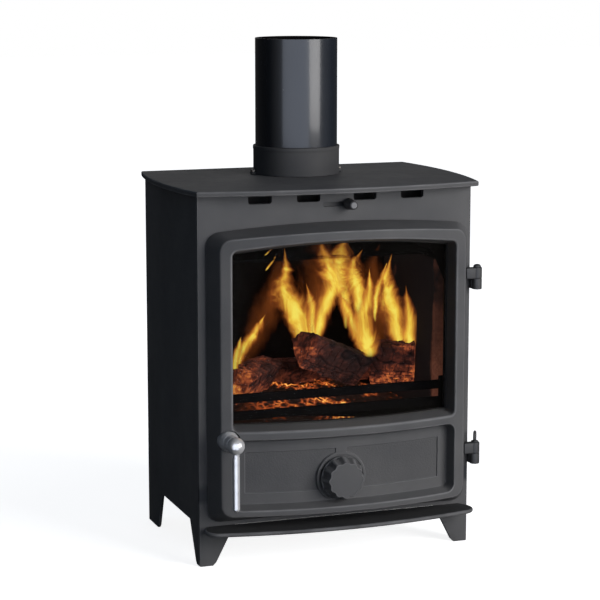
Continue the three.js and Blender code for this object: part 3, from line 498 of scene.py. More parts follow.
def roundedOutline(left, right, bottom, top, radius, arch=0.0, corner=10, across=44, side=18):
    # Anticlockwise from the lower left corner, seen from the front; the top edge may rise to an arch.
    middle, half = (left + right) / 2, (right - left) / 2

    def turn(x, z, start):
        angles = [start + math.pi / 2 * i / corner for i in range(corner + 1)]
        return [(x + radius * math.cos(a), z + radius * math.sin(a)) for a in angles]

    def between(first, last, steps):
        return [tuple(f + (l - f) * i / steps for f, l in zip(first, last)) for i in range(1, steps)]

    corners = [
        turn(left + radius, bottom + radius, math.pi), turn(right - radius, bottom + radius, 1.5 * math.pi),
        turn(right - radius, top - radius, 0), turn(left + radius, top - radius, math.pi / 2),
    ]
    points = []
    for index, part in enumerate(corners):
        following = corners[(index + 1) % 4]
        points += part + between(part[-1], following[0], across if index % 2 == 0 else side)
    level = top - radius - 1e-6
    return [(x, z + arch * (1 - ((x - middle) / half) ** 2) if z > level else z) for x, z in points]


def shrink(spec, side, low=None, high=None):
    low = side if low is None else low
    high = side if high is None else high
    return {
        **spec, "left": spec["left"] + side, "right": spec["right"] - side, "bottom": spec["bottom"] + low,
        "top": spec["top"] - high, "radius": max(spec["radius"] - side, 1.0),
    }


def ring(spec, depthAt):
    return [(x, depthAt(x), z) for x, z in roundedOutline(**spec)]


def soften(rings, reaches, steps=5):
    # Rounds the profile at each inner ring; a reach of 0 keeps its edge sharp.
    softened = [rings[0]]
    for before, edge, after, reach in zip(rings, rings[1:], rings[2:], reaches):
        if not reach:
            softened.append(edge)
            continue
        arc = [[] for _ in range(steps + 1)]
        for b, e, a in zip(before, edge, after):
            b, e, a = Vector(b), Vector(e), Vector(a)
            start = e + (b - e).normalized() * reach
            end = e + (a - e).normalized() * reach
            for i in range(steps + 1):
                t = i / steps
                arc[i].append(tuple(start * (1 - t) ** 2 + e * (2 * t * (1 - t)) + end * t * t))
        softened += arc
    return softened + [rings[-1]]


def insideRing(x, z, points):
    inside = False
    for (x0, z0), (x1, z1) in zip(points, points[1:] + points[:1]):
        if (z0 > z) != (z1 > z) and x < (x1 - x0) * (z - z0) / (z1 - z0) + x0:
            inside = not inside
    return inside


class Skin:
    # A mesh gathered in millimetres, with a material index for each face.
    def __init__(self):
        self.points, self.faces, self.tags = [], [], []

    def addRing(self, points):
        start = len(self.points)
        self.points += [tuple(point) for point in points]
        return list(range(start, len(self.points)))

    def bridge(self, first, second, tag=0):
        count = len(first)
        for i in range(count):
            j = (i + 1) % count
            self.faces.append((first[i], first[j], second[j], second[i]))
            self.tags.append(tag)

    def loft(self, rings, tag=0):
        indices = [points if isinstance(points[0], int) else self.addRing(points) for points in rings]
        for first, second in zip(indices, indices[1:]):
            self.bridge(first, second, tag)
        return indices[0], indices[-1]

    def cap(self, indices, flip=False, tag=0):
        self.faces.append(tuple(reversed(indices)) if flip else tuple(indices))
        self.tags.append(tag)

    def fill(self, outer, holes, depthAt, step, flip=False, tag=0):
        # Fills the area between rings with small triangles that follow depthAt.
        known, edges, flats = [], [], []
        for indices in [outer, *holes]:
            start = len(known)
            known += indices
            count = len(indices)
            edges += [(start + i, start + (i + 1) % count) for i in range(count)]
            flats.append([(self.points[i][0], self.points[i][2]) for i in indices])
        flat = [(self.points[i][0], self.points[i][2]) for i in known]
        xs, zs = [p[0] for p in flats[0]], [p[1] for p in flats[0]]
        columns = int((max(xs) - min(xs)) / step) + 1
        rows = int((max(zs) - min(zs)) / step) + 1
        extra = []
        for i in range(1, columns):
            for j in range(1, rows):
                x = min(xs) + (max(xs) - min(xs)) * i / columns
                z = min(zs) + (max(zs) - min(zs)) * j / rows
                if insideRing(x, z, flats[0]) and not any(insideRing(x, z, hole) for hole in flats[1:]):
                    if min((x - a) ** 2 + (z - b) ** 2 for a, b in flat) > (0.55 * step) ** 2:
                        extra.append((x, z))
        spots = [Vector(p) for p in flat + extra]
        result = delaunay_2d_cdt(spots, edges, [], 0, 1e-5)
        numbers = []
        for spot, origin in zip(result[0], result[3]):
            old = [i for i in origin if i < len(known)]
            if old:
                numbers.append(known[old[0]])
            else:
                numbers.append(len(self.points))
                self.points.append((spot[0], depthAt(spot[0]), spot[1]))
        for face in result[2]:
            cx = sum(result[0][i][0] for i in face) / len(face)
            cz = sum(result[0][i][1] for i in face) / len(face)
            if insideRing(cx, cz, flats[0]) and not any(insideRing(cx, cz, hole) for hole in flats[1:]):
                self.cap([numbers[i] for i in face], flip, tag)

    def make(self, name, *skins, angle=32):
        mesh = bpy.data.meshes.new(name)
        mesh.from_pydata([tuple(v * mm for v in point) for point in self.points], [], self.faces)
        for face, tag in zip(mesh.polygons, self.tags):
            face.material_index = tag
        return finishMesh(name, mesh, skins, angle)


def finishMesh(name, mesh, skins, angle=32):
    # Shades a mesh smooth but for its sharp edges, and gives it to an object at the origin.
    form = bmesh.new()
    form.from_mesh(mesh)
    form.normal_update()
    for face in form.faces:
        face.smooth = True
    limit = math.radians(angle)
    for edge in form.edges:
        edge.smooth = len(edge.link_faces) == 2 and edge.calc_face_angle(0) < limit
    form.to_mesh(mesh)
    form.free()
    numbers = [face.material_index for face in mesh.polygons]
    mesh.materials.clear()
    for skin in skins:
        mesh.materials.append(materials[skin])
    for face, number in zip(mesh.polygons, numbers):
        face.material_index = min(number, len(skins) - 1)
    piece = bpy.data.objects.new(name, mesh)
    bpy.context.collection.objects.link(piece)
    return piece


def belong(piece, body, slotName, *nodes):
    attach(piece, body)
    if nodes:
        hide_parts(*nodes)
    return piece


def markWearAndHighlight(piece, least=4.0, full=12.0, narrow=1.8):
    # The narrow faces of rounded outward edges store how worn and lit they are: there the paint is made
    # lighter, partly as rubbed wear and partly as a painted highlight along edges that catch light.
    form = bmesh.new()
    form.from_mesh(piece.data)
    form.normal_update()
    values = []
    for face in form.faces:
        edges = sorted(face.edges, key=lambda e: -e.calc_length())
        bends = [
            math.degrees(e.calc_face_angle_signed(0)) if len(e.link_faces) == 2 else 0 for e in edges[:2]
        ]
        breadth = face.calc_area() / edges[0].calc_length() / mm
        wearAndHighlight = (min(bends) - least) / (full - least)
        values.append(min(max(wearAndHighlight, 0.0), 1.0) if breadth < narrow else 0.0)
    form.free()
    layer = piece.data.attributes.new("wearAndHighlight", "FLOAT", "FACE")
    layer.data.foreach_set("value", values)
    return piece


def bakeModifiers(piece):
    # The evaluated shape becomes the piece's own plain mesh.
    graph = bpy.context.evaluated_depsgraph_get()
    shaped = bpy.data.meshes.new_from_object(piece.evaluated_get(graph))
    piece.modifiers.clear()
    piece.data = shaped
    return piece


def dressed(node, skin, bevel=0.8, segments=2, angle=30, name=None, keepSharp=None):
    # A merged copy of a CAD node whose hard edges get a small round.
    form = bmesh.new()
    form.from_mesh(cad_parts[node].data)
    bmesh.ops.remove_doubles(form, verts=form.verts, dist=2e-6)
    bmesh.ops.dissolve_limit(form, angle_limit=math.radians(0.5), verts=form.verts, edges=form.edges)
    hard = [e for e in form.edges if len(e.link_faces) == 2 and e.calc_face_angle(0) > math.radians(angle)]
    if keepSharp:
        hard = [e for e in hard if not keepSharp(e)]
    if bevel:
        bmesh.ops.bevel(form, geom=hard, offset=bevel * mm, segments=segments, profile=0.5,
                        affect="EDGES", clamp_overlap=True)
    bmesh.ops.triangulate(form, faces=[f for f in form.faces if len(f.verts) > 4])
    mesh = bpy.data.meshes.new(name or node)
    form.to_mesh(mesh)
    form.free()
    return finishMesh(name or node + "Dressed", mesh, (skin,), 40)


def turned(name, skin, profile, centre, axis="Z", steps=96, angle=32):
    # A profile of (radius, height) pairs turned about an axis; it starts and ends on the axis or closes.
    skinMesh = Skin()

    def spot(radius, height, turn):
        a, b = radius * math.cos(turn), radius * math.sin(turn)
        x, y, z = {"Z": (a, b, height), "Y": (a, height, b)}[axis]
        return (centre[0] + x, centre[1] + y, centre[2] + z)

    rings = []
    for radius, height in profile:
        if radius < 1e-6:
            rings.append([len(skinMesh.points)])
            skinMesh.points.append(spot(0, height, 0))
        else:
            rings.append(
                skinMesh.addRing([spot(radius, height, 2 * math.pi * i / steps) for i in range(steps)])
            )
    pairs = list(zip(rings, rings[1:]))
    if profile[0][0] > 1e-6:
        pairs.append((rings[-1], rings[0]))
    for first, second in pairs:
        for i in range(steps):
            j = (i + 1) % steps
            corners = [
                first[i % len(first)], first[j % len(first)], second[j % len(second)],
                second[i % len(second)]
            ]
            face = tuple(dict.fromkeys(corners))
            skinMesh.faces.append(face)
            skinMesh.tags.append(0)
    piece = skinMesh.make(name, skin, angle=angle)
    form = bmesh.new()
    form.from_mesh(piece.data)
    bmesh.ops.recalc_face_normals(form, faces=form.faces)
    form.to_mesh(piece.data)
    form.free()
    return piece


def joinPieces(name, *parts):
    form = bmesh.new()
    for part in parts:
        form.from_mesh(part.data)
    mesh = bpy.data.meshes.new(name)
    form.to_mesh(mesh)
    form.free()
    for material in parts[0].data.materials:
        mesh.materials.append(material)
    whole = bpy.data.objects.new(name, mesh)
    bpy.context.collection.objects.link(whole)
    for part in parts:
        bpy.data.objects.remove(part)
    return whole


def rounded(points, reach, steps=4):
    # Rounds the corners of an open profile of (radius, height) pairs.
    out = [points[0]]
    for before, corner, after in zip(points, points[1:], points[2:]):
        b, c, a = Vector(before), Vector(corner), Vector(after)
        near = min(reach, (b - c).length * 0.49, (a - c).length * 0.49)
        start, end = c + (b - c).normalized() * near, c + (a - c).normalized() * near
        out += [tuple(start * (1 - t) ** 2 + c * (2 * t * (1 - t)) + end * t * t)
                for t in [i / steps for i in range(steps + 1)]]
    return out + [points[-1]]

print("stage: body, top plate and flue")

topSizes = {
    "half": 221, "front": -121.5, "back": 181.5, "frontBow": 26, "sideBow": 16, "low": 555, "high": 563,
    "round": 2.2
}
pipeSizes = {"y": 77.6, "radius": 63.5, "wall": 2, "low": 555, "high": 772, "edge": 0.5}
collarSizes = {
    "inner": 63.8, "outer": 66.8, "bead": 67.3, "low": 563.3, "high": 607.3, "lug": 68.7, "lugHalf": 5.5,
    "lugHigh": 567.3, "bolt": 70.7, "boltLow": 567.6,
}


def bowAt(x, half, rise):
    radius = (half ** 2 + rise ** 2) / (2 * rise)
    return math.sqrt(radius ** 2 - x ** 2) - (radius - rise)


def slab(name, skin, outlineAt, low, high, edge, hole=None):
    # A flat plate with rounded rims; outlineAt(inset) gives its outline from above, anticlockwise.
    form = Skin()
    rings = []
    for i in range(5):
        angle = math.pi / 2 * (1 - i / 4)
        inset, drop = edge * (1 - math.cos(angle)), edge * (1 - math.sin(angle))
        rings.append([(x, y, low + drop) for x, y in outlineAt(inset)])
    rings += [[(x, y, high - (z - low)) for x, y, z in points] for points in reversed(rings)]
    first, last = form.loft(rings)
    circles = []
    for indices, level, flip in ((first, low, True), (last, high, False)):
        known, edges = list(indices), [(i, (i + 1) % len(indices)) for i in range(len(indices))]
        outlines = [[form.points[i][:2] for i in indices]]
        if hole:
            turns = [2 * math.pi * i / 96 for i in range(96)]
            circle = form.addRing(
                [(hole[0] + hole[2] * math.cos(a), hole[1] + hole[2] * math.sin(a), level) for a in turns]
            )
            edges += [(len(known) + i, len(known) + (i + 1) % 96) for i in range(96)]
            known += circle
            outlines.append([form.points[i][:2] for i in circle])
            circles.append(circle)
        result = delaunay_2d_cdt([Vector(form.points[i][:2]) for i in known], edges, [], 0, 1e-5)
        for face in result[2]:
            centre = [sum(result[0][i][k] for i in face) / 3 for k in (0, 1)]
            if insideRing(*centre, outlines[0]) and not (hole and insideRing(*centre, outlines[1])):
                form.cap([known[result[3][i][0]] for i in face], flip)
    if hole:
        form.bridge(circles[1], circles[0])
    return form.make(name, skin)


def topOutline(inset):
    half, front, back = topSizes["half"], topSizes["front"], topSizes["back"]
    middle, reach = (front + back) / 2, (back - front) / 2
    points = []
    for i in range(60):
        x = -half + 2 * half * i / 60
        points.append((x, front - bowAt(x, half, topSizes["frontBow"])))
    for i in range(40):
        y = front + (back - front) * i / 40
        points.append((half + bowAt(y - middle, reach, topSizes["sideBow"]), y))
    for i in range(30):
        points.append((half - 2 * half * i / 30, back))
    for i in range(40):
        y = back - (back - front) * i / 40
        points.append((-half - bowAt(y - middle, reach, topSizes["sideBow"]), y))
    return insetOutline(points, inset)


def insetOutline(points, inset):
    # Moves each point inwards along the mean normal of its two edges.
    moved = []
    count = len(points)
    for i, (x, y) in enumerate(points):
        (x0, y0), (x1, y1) = points[i - 1], points[(i + 1) % count]
        n0 = Vector((-(y - y0), x - x0)).normalized()
        n1 = Vector((-(y1 - y), x1 - x)).normalized()
        n = (n0 + n1).normalized()
        reach = inset / max(n.dot(n0), 0.5)
        moved.append((x + n[0] * reach, y + n[1] * reach))
    return moved


topPiece = slab("topPlate", "topPaint", topOutline, topSizes["low"], topSizes["high"], topSizes["round"],
                (0, pipeSizes["y"], pipeSizes["radius"] + 0.3))
belong(markWearAndHighlight(topPiece), "stove_body", "heat_paint", "top_plate")


def ringProfile(inner, outer, low, high, edge):
    corners = [(inner, low), (outer, low), (outer, high), (inner, high)]
    points = []
    for index, corner in enumerate(corners):
        before, after = Vector(corners[index - 1]), Vector(corners[(index + 1) % 4])
        c = Vector(corner)
        start, end = c + (before - c).normalized() * edge, c + (after - c).normalized() * edge
        points += [
            tuple(start * (1 - t) ** 2 + c * (2 * t * (1 - t)) + end * t * t) for t in (0, 0.33, 0.67, 1)
        ]
    return points


pipeProfile = ringProfile(
    pipeSizes["radius"] - pipeSizes["wall"], pipeSizes["radius"], pipeSizes["low"], pipeSizes["high"],
    pipeSizes["edge"])
pipe = turned("fluePipe", "enamel", pipeProfile, (0, pipeSizes["y"], 0), steps=128)
# The inner faces get the near-black soot crust: partly real soot, partly painted shade that keeps the
# inside of the pipe deep.
pipe.data.materials.append(materials["soot"])
for face in pipe.data.polygons:
    reach = math.hypot(face.center.x, face.center.y - pipeSizes["y"] * mm) / mm
    face.material_index = 1 if reach < pipeSizes["radius"] - 0.6 else 0
belong(pipe, "stove_body", "flue_enamel", "flue_pipe")

collarProfile = rounded([
    (collarSizes["inner"], collarSizes["low"]), (collarSizes["outer"] + 0.3, collarSizes["low"]),
    (collarSizes["outer"], collarSizes["low"] + 3), (collarSizes["outer"], collarSizes["high"] - 7),
    (collarSizes["bead"], collarSizes["high"] - 5), (collarSizes["bead"], collarSizes["high"] - 0.6),
    (collarSizes["outer"] - 1.2, collarSizes["high"]), (collarSizes["inner"], collarSizes["high"]),
], 0.9, 3)
collarRing = turned("collarRing", "collarPaint", collarProfile, (0, pipeSizes["y"], 0), steps=128)
belong(collarRing, "stove_body", "heat_paint", "flue_collar")


def softBlock(name, skin, low, high, edge=0.8):
    form = bmesh.new()
    bmesh.ops.create_cube(form, size=1)
    for vertex in form.verts:
        for axis in range(3):
            vertex.co[axis] = (low[axis] if vertex.co[axis] < 0 else high[axis]) * mm
    bmesh.ops.bevel(form, geom=form.edges[:], offset=edge * mm, segments=3, profile=0.5, affect="EDGES")
    mesh = bpy.data.meshes.new(name)
    form.to_mesh(mesh)
    form.free()
    return finishMesh(name, mesh, (skin,))


lugs = []
for x in (-collarSizes["lug"], collarSizes["lug"]):
    reach = collarSizes["lugHalf"]
    low = (x - reach, pipeSizes["y"] - reach, collarSizes["low"])
    high = (x + reach, pipeSizes["y"] + reach, collarSizes["lugHigh"])
    lugs.append(softBlock("lug", "collarPaint", low, high, 0.9))
belong(joinPieces("collarLugs", *lugs), "stove_body", "heat_paint", "flue_collar")

bodyPlates = {
    "front_plate": ("frontPaint", 2.4), "side_panel_left": ("paint", 1.2),
    "side_panel_right": ("paint", 1.2), "rear_panel": ("paint", 0.8), "base_plate": ("paint", 0.8),
}


def insideEdge(edge):
    # True for the front plate's doorway, slot, notches and lower edge, and for its back face.
    middle = (edge.verts[0].co + edge.verts[1].co) / 2
    return middle.y > -0.101 or not (abs(middle.x) > 0.2155 or middle.z < 0.055)


for node, (skin, edge) in bodyPlates.items():
    if node == "front_plate":
        piece = dressed(node, skin, edge, 4, keepSharp=insideEdge)
    else:
        piece = dressed(node, skin, edge, 3)
    belong(markWearAndHighlight(piece), "stove_body", "heat_paint", node)

lipSizes = {
    "half": 214, "rootHalf": 203, "root": -104.8, "reach": 40, "bow": 27, "corner": 22, "plate": -104.5,
    "low": 55, "high": 61, "round": 2.9, "bend": -113,
}


def lipOutline(inset):
    half, corner = lipSizes["half"], lipSizes["corner"]
    flat = half - corner

    def edgeAt(x):
        return lipSizes["plate"] - lipSizes["reach"] - bowAt(x, half, lipSizes["bow"])

    def turn(side, start):
        angles = [start + math.pi / 2 * i / 10 for i in range(11)]
        level = edgeAt(flat) + corner
        return [(side * flat + corner * math.cos(a), level + corner * math.sin(a)) for a in angles]

    def flank(side):
        # From the plate outwards to the corner, in a slight curve.
        start = (lipSizes["rootHalf"], lipSizes["root"])
        bend, end = (half, lipSizes["bend"]), (half, edgeAt(flat) + corner)
        curve = []
        for i in range(8):
            t = i / 8
            x, y = (s * (1 - t) ** 2 + b * 2 * t * (1 - t) + e * t * t for s, b, e in zip(start, bend, end))
            curve.append((side * x, y))
        return curve

    front = [(-flat + 2 * flat * i / 60, edgeAt(-flat + 2 * flat * i / 60)) for i in range(1, 60)]
    points = flank(-1) + turn(-1, math.pi) + front + turn(1, 1.5 * math.pi) + flank(1)[::-1]
    wide = lipSizes["rootHalf"]
    points += [(wide - 2 * wide * i / 40, lipSizes["root"]) for i in range(1, 40)]
    # The edge at the plate stays sharp, so that no light shows under the plate.
    root = lipSizes["root"]
    return [(x, root if old[1] == root else y) for (x, y), old in zip(insetOutline(points, inset), points)]


lipPiece = slab("ashLip", "lipShadedPaint", lipOutline, lipSizes["low"], lipSizes["high"], lipSizes["round"])
belong(markWearAndHighlight(lipPiece), "stove_body", "heat_paint", "ash_lip")

print("stage: door")

door = {
    "plate": -104.5, "back": -105.1, "centre": 2.6, "chord": 193, "edgeDepth": 30, "bow": 30,
    "outline": {"left": -203.8, "right": 209, "bottom": 67.5, "top": 499.5, "radius": 20, "arch": 10.5},
    "bevel": (13.4, 14, 7.5), "faceRadius": 17, "faceRound": 2.4,
}
window = {
    "outline": {"left": -173.7, "right": 178.9, "bottom": 209.5, "top": 476, "radius": 8, "arch": 12.5},
    "depth": 25, "draft": 5.5, "pocket": 10, "round": 3.6,
}
recess = {
    "outline": {"left": -173.7, "right": 178.9, "bottom": 90.5, "top": 197, "radius": 13, "arch": 0},
    "depth": 20, "draft": 5.5, "round": 2.2, "skin": 8, "border": 16.5, "sink": 2, "neck": 16,
}
rope = {"inset": 9, "width": 8, "depth": 5.6, "play": 0.5}
airWheel = {
    "x": -7, "z": 130, "ringOuter": 39, "ringInner": 34.5, "raise": 1, "ports": 6, "port": 6.5,
    "portCircle": 19, "stud": 6.3,
}
handle = {"x": -179, "z": 196, "seat": 16.3, "seatY": -122.5, "bore": 5.3}


def faceY(x, inset=0.0):
    return door["plate"] - door["edgeDepth"] - bowAt(x - door["centre"], door["chord"], door["bow"]) + inset


def behind(inset):
    return lambda x: faceY(x, inset)


def fieldOutlines(spec):
    # The field's left and right parts, anticlockwise; the wheel's seat and its neck part them.
    x, z, radius, half = airWheel["x"], airWheel["z"], airWheel["ringOuter"], recess["neck"] / 2
    low, high = math.asin((spec["bottom"] - z) / radius), math.acos(half / radius)
    bend = [low + (high - low) * i / 16 for i in range(17)]
    parts = []
    for side, far in ((-1, spec["left"]), (1, spec["right"])):
        curve = [(x + side * radius * math.cos(a), z + radius * math.sin(a)) for a in bend]
        points = [(far, spec["bottom"]), *curve, (x + side * half, spec["top"]), (far, spec["top"])]
        if side > 0:
            points.reverse()
        parts.append(divided(points, 5))
    return parts


def divided(points, step):
    # Adds points along the long sides of a closed outline.
    dense = []
    for (x0, z0), (x1, z1) in zip(points, points[1:] + points[:1]):
        count = max(1, round(math.hypot(x1 - x0, z1 - z0) / step))
        dense += [(x0 + (x1 - x0) * i / count, z0 + (z1 - z0) * i / count) for i in range(count)]
    return dense


def doorCasting():
    form = Skin()
    base = door["outline"]
    side, low, high = door["bevel"]
    face = {**shrink(base, side, low, high), "radius": door["faceRadius"]}
    inner = door["faceRound"] + 1.5

    def flatBack(x):
        return door["back"]

    outer = soften([
        ring(shrink(base, 2.5), flatBack), ring(shrink(base, 0.4), flatBack),
        ring(base, lambda x: door["back"] - 2.5),
        ring(face, faceY), ring(shrink(face, inner), faceY),
    ], [0.6, 1.6, door["faceRound"]], 6)
    backRing, faceRing = form.loft(outer)

    opening = window["outline"]
    sight = shrink(opening, window["draft"])
    pocket = shrink(sight, -window["pocket"])
    windowRings = soften([
        ring(shrink(opening, -window["round"] - 1.2), faceY), ring(opening, faceY),
        ring(sight, behind(window["depth"])), ring(pocket, behind(window["depth"])), ring(pocket, flatBack),
    ], [window["round"], 0.8, 0.6], 5)
    windowFront, windowBack = form.loft(windowRings)

    hollowEdge = recess["outline"]
    floor = shrink(hollowEdge, recess["draft"])
    depth = recess["depth"]
    recessRings = soften([
        ring(shrink(hollowEdge, -recess["round"] - 1.2), faceY), ring(hollowEdge, faceY),
        ring(floor, behind(depth)), ring(shrink(floor, 3), behind(depth)),
    ], [recess["round"], 1.4], 5)
    recessFront, floorEdge = form.loft(recessRings)
    form.fill(faceRing, [windowFront, recessFront], faceY, 9)

    # Two stippled fields sunk into the recess, one on each side of the air wheel's seat.
    fieldEdges = []
    for outline in fieldOutlines(shrink(floor, recess["border"])):
        steps = [(-0.8, depth), (0, depth), (0.5, depth + recess["sink"]), (1.4, depth + recess["sink"])]
        levels = []
        for inset, level in steps:
            levels.append([(x, faceY(x, level), z) for x, z in insetOutline(outline, inset)])
        upper, lower = form.loft(soften(levels, [0.45, 0.4], 3))
        form.fill(lower, [], behind(depth + recess["sink"]), 9, tag=1)
        fieldEdges.append(upper)
    form.fill(floorEdge, fieldEdges, behind(depth), 9)

    ropeOuter = shrink(base, rope["inset"] - rope["width"] / 2 - rope["play"])
    ropeInner = shrink(base, rope["inset"] + rope["width"] / 2 + rope["play"])
    depth = door["back"] - rope["depth"]
    ropeRings = [
        ring(ropeOuter, flatBack), ring(ropeOuter, lambda x: depth), ring(ropeInner, lambda x: depth),
        ring(ropeInner, flatBack),
    ]
    ropeStart, ropeEnd = form.loft([list(reversed(points)) for points in ropeRings])
    form.fill(list(reversed(backRing)), [ropeStart], flatBack, 14, flip=True)

    shell = shrink(floor, 2)
    shellFloor = recess["depth"] + recess["skin"]
    shellRings = soften([
        ring(shrink(shell, -1), flatBack), ring(shell, flatBack),
        ring(shrink(shell, 1), behind(shellFloor)),
        ring(shrink(shell, 4), behind(shellFloor)),
    ], [0.8, 2.5], 4)
    shellStart, shellEnd = form.loft(shellRings)
    form.fill(shellEnd, [], behind(shellFloor), 10, flip=True)
    form.fill(ropeEnd, [windowBack, shellStart], flatBack, 12, flip=True)
    return form.make("doorCasting", "paint", "stipple")


doorPiece = doorCasting()
form = bmesh.new()
form.from_mesh(doorPiece.data)
bmesh.ops.recalc_face_normals(form, faces=form.faces)
openEdges = [e for e in form.edges if len(e.link_faces) != 2]
print(
    "door: faces", len(form.faces), "open edges", len(openEdges), "volume", round(form.calc_volume() * 1e6),
    "cm3"
)
form.to_mesh(doorPiece.data)
form.free()


def rod(name, x, z, near, far, radius, steps=48):
    return turned(
        name, "steel", [(0, near), (radius, near), (radius, far), (0, far)], (x, 0, z), "Y", steps
    )


def cutDoor():
    wheelX, wheelZ = airWheel["x"], airWheel["z"]
    cutters = [
        rod("cut", handle["x"], handle["z"], -240, handle["seatY"], handle["seat"], 64),
        rod("cut", handle["x"], handle["z"], handle["seatY"] - 1, -90, handle["bore"], 32),
        rod("cut", wheelX, wheelZ, -200, -90, airWheel["stud"], 32),
    ]
    for i in range(airWheel["ports"]):
        turn = 2 * math.pi * i / airWheel["ports"]
        x = wheelX + airWheel["portCircle"] * math.cos(turn)
        z = wheelZ + airWheel["portCircle"] * math.sin(turn)
        cutters.append(rod("cut", x, z, -200, -90, airWheel["port"], 32))
    for cutter in cutters:
        change = doorPiece.modifiers.new("cut", "BOOLEAN")
        change.operation = "DIFFERENCE"
        change.solver = "EXACT"
        change.object = cutter
    bakeModifiers(doorPiece)
    for cutter in cutters:
        bpy.data.objects.remove(cutter)
    shaded = finishMesh("doorCast", doorPiece.data, ("paint", "stipple"), 32)
    bpy.data.objects.remove(doorPiece)
    shaded.name = "doorCasting"
    return shaded


doorPiece = markWearAndHighlight(cutDoor())
belong(doorPiece, "door", "heat_paint", "door_frame")

wheelY = faceY(airWheel["x"], recess["depth"])
seatProfile = rounded([
    (airWheel["ringInner"], wheelY + 2), (airWheel["ringInner"], wheelY - airWheel["raise"]),
    (airWheel["ringOuter"] - 0.4, wheelY - airWheel["raise"]), (airWheel["ringOuter"] + 0.3, wheelY + 6),
    (airWheel["ringInner"], wheelY + 6),
], 0.9, 4)
seat = turned("wheelSeat", "paint", seatProfile, (airWheel["x"], 0, airWheel["z"]), "Y")
belong(seat, "door", "heat_paint", "door_frame")

hinge = {
    "x": 224, "y": -113.5, "barrel": 7.5, "pin": 4, "knuckle": 16.5, "lower": 125, "upper": 397,
    "arm": 204, "armHalf": 6.5, "armEnd": 219.5, "web": 216.3, "webBack": -70.5, "gap": 0.3, "edge": 1.2,
}


def barrelPart(name, z0, z1, skin):
    bore = hinge["pin"] + hinge["gap"]
    profile = ringProfile(bore, hinge["barrel"], z0, z1, 0.9)
    return turned(name, skin, profile, (hinge["x"], hinge["y"], 0), steps=48)


knuckles = []
for z in (hinge["lower"], hinge["upper"]):
    z0 = z + hinge["knuckle"] + hinge["gap"]
    knuckles.append(barrelPart("knuckle", z0, z0 + hinge["knuckle"], "hingePaint"))
    low = (hinge["arm"], hinge["y"] - hinge["armHalf"], z0)
    high = (hinge["armEnd"], hinge["y"] + hinge["armHalf"], z0 + hinge["knuckle"])
    knuckles.append(softBlock("arm", "hingePaint", low, high, hinge["edge"]))
belong(joinPieces("doorKnuckles", *knuckles), "door", "heat_paint", "door_frame")

for name, z in (("hinge_lug_lower", hinge["lower"]), ("hinge_lug_upper", hinge["upper"])):
    barrel = barrelPart("barrel", z, z + hinge["knuckle"], "hingePaint")
    low = (hinge["web"], hinge["y"] + 4.5, z)
    high = (hinge["x"] + 1, hinge["webBack"], z + hinge["knuckle"])
    web = softBlock("web", "hingePaint", low, high, hinge["edge"])
    belong(joinPieces(name + "Cast", barrel, web), "stove_body", "heat_paint", name)

upperTop = hinge["upper"] + 2 * hinge["knuckle"] + 0.6
domeProfile = rounded([
    (0, hinge["upper"]), (3.7, hinge["upper"]), (4, hinge["upper"] + 1), (4, upperTop), (6, upperTop),
    (6, upperTop + 1.4), (4.6, upperTop + 3.8), (2, upperTop + 4.7), (0, upperTop + 4.8)], 1.2, 3)
domed = turned("upperPin", "hingePaint", domeProfile, (hinge["x"], hinge["y"], 0), steps=40)
belong(domed, "stove_body", "heat_paint", "hinge_pin_upper")

lowerTop = hinge["lower"] + 2 * hinge["knuckle"] + 0.6
shankProfile = rounded([
    (0, hinge["lower"]), (3.7, hinge["lower"]), (4, hinge["lower"] + 1), (4, lowerTop), (5.5, lowerTop),
    (5.5, lowerTop + 2), (0, lowerTop + 2)], 0.5, 2)
shank = turned("shank", "hingePaint", shankProfile, (hinge["x"], hinge["y"], 0), steps=40)


def pinRing(centre, radius, wire, turnAngle):
    form = Skin()
    rings = []
    for i in range(40):
        a = 2 * math.pi * i / 40
        out = (math.cos(a) * math.cos(turnAngle), math.cos(a) * math.sin(turnAngle), math.sin(a))
        across = (-math.sin(turnAngle), math.cos(turnAngle), 0)
        points = []
        for b in [2 * math.pi * k / 14 for k in range(14)]:
            far, aside = radius + wire * math.cos(b), wire * math.sin(b)
            points.append(tuple(c + o * far + s * aside for c, o, s in zip(centre, out, across)))
        rings.append(form.addRing(points))
    for first, second in zip(rings, rings[1:] + rings[:1]):
        form.bridge(second, first)
    return form.make("ring", "hingePaint")


eye = pinRing((hinge["x"], hinge["y"], lowerTop + 8.6), 7, 2.2, math.pi / 2 - 0.5)
belong(joinPieces("lowerPin", shank, eye), "stove_body", "heat_paint", "hinge_pin_lower")

print("stage: glass, seal and clamp")


def paneSkin(name, spec, near, far, skin, edge):
    # A bowed pane between two depths behind the face, with a soft rim.
    # It stores how near each point is to the edge.
    form = Skin()
    rings = soften([
        ring(shrink(spec, 2), behind(far)), ring(spec, behind(far)), ring(spec, behind(near)),
        ring(shrink(spec, 2), behind(near)),
    ], [edge, edge], 3)
    backRing, frontRing = form.loft(rings)
    form.fill(frontRing, [], behind(near), 11)
    form.fill(list(reversed(backRing)), [], behind(far), 11, flip=True)
    pane = form.make(name, skin)
    fixNormals(pane)
    values = pane.data.attributes.new("edge", "FLOAT", "POINT")
    for item, vertex in zip(values.data, pane.data.vertices):
        x, z = vertex.co.x / mm, vertex.co.z / mm
        reach = min(x - spec["left"], spec["right"] - x, z - spec["bottom"], spec["top"] + 6 - z)
        item.value = max(0.0, 1 - max(reach - 6, 0) / 34)
    return pane


def fixNormals(piece):
    form = bmesh.new()
    form.from_mesh(piece.data)
    bmesh.ops.recalc_face_normals(form, faces=form.faces)
    form.to_mesh(piece.data)
    form.free()


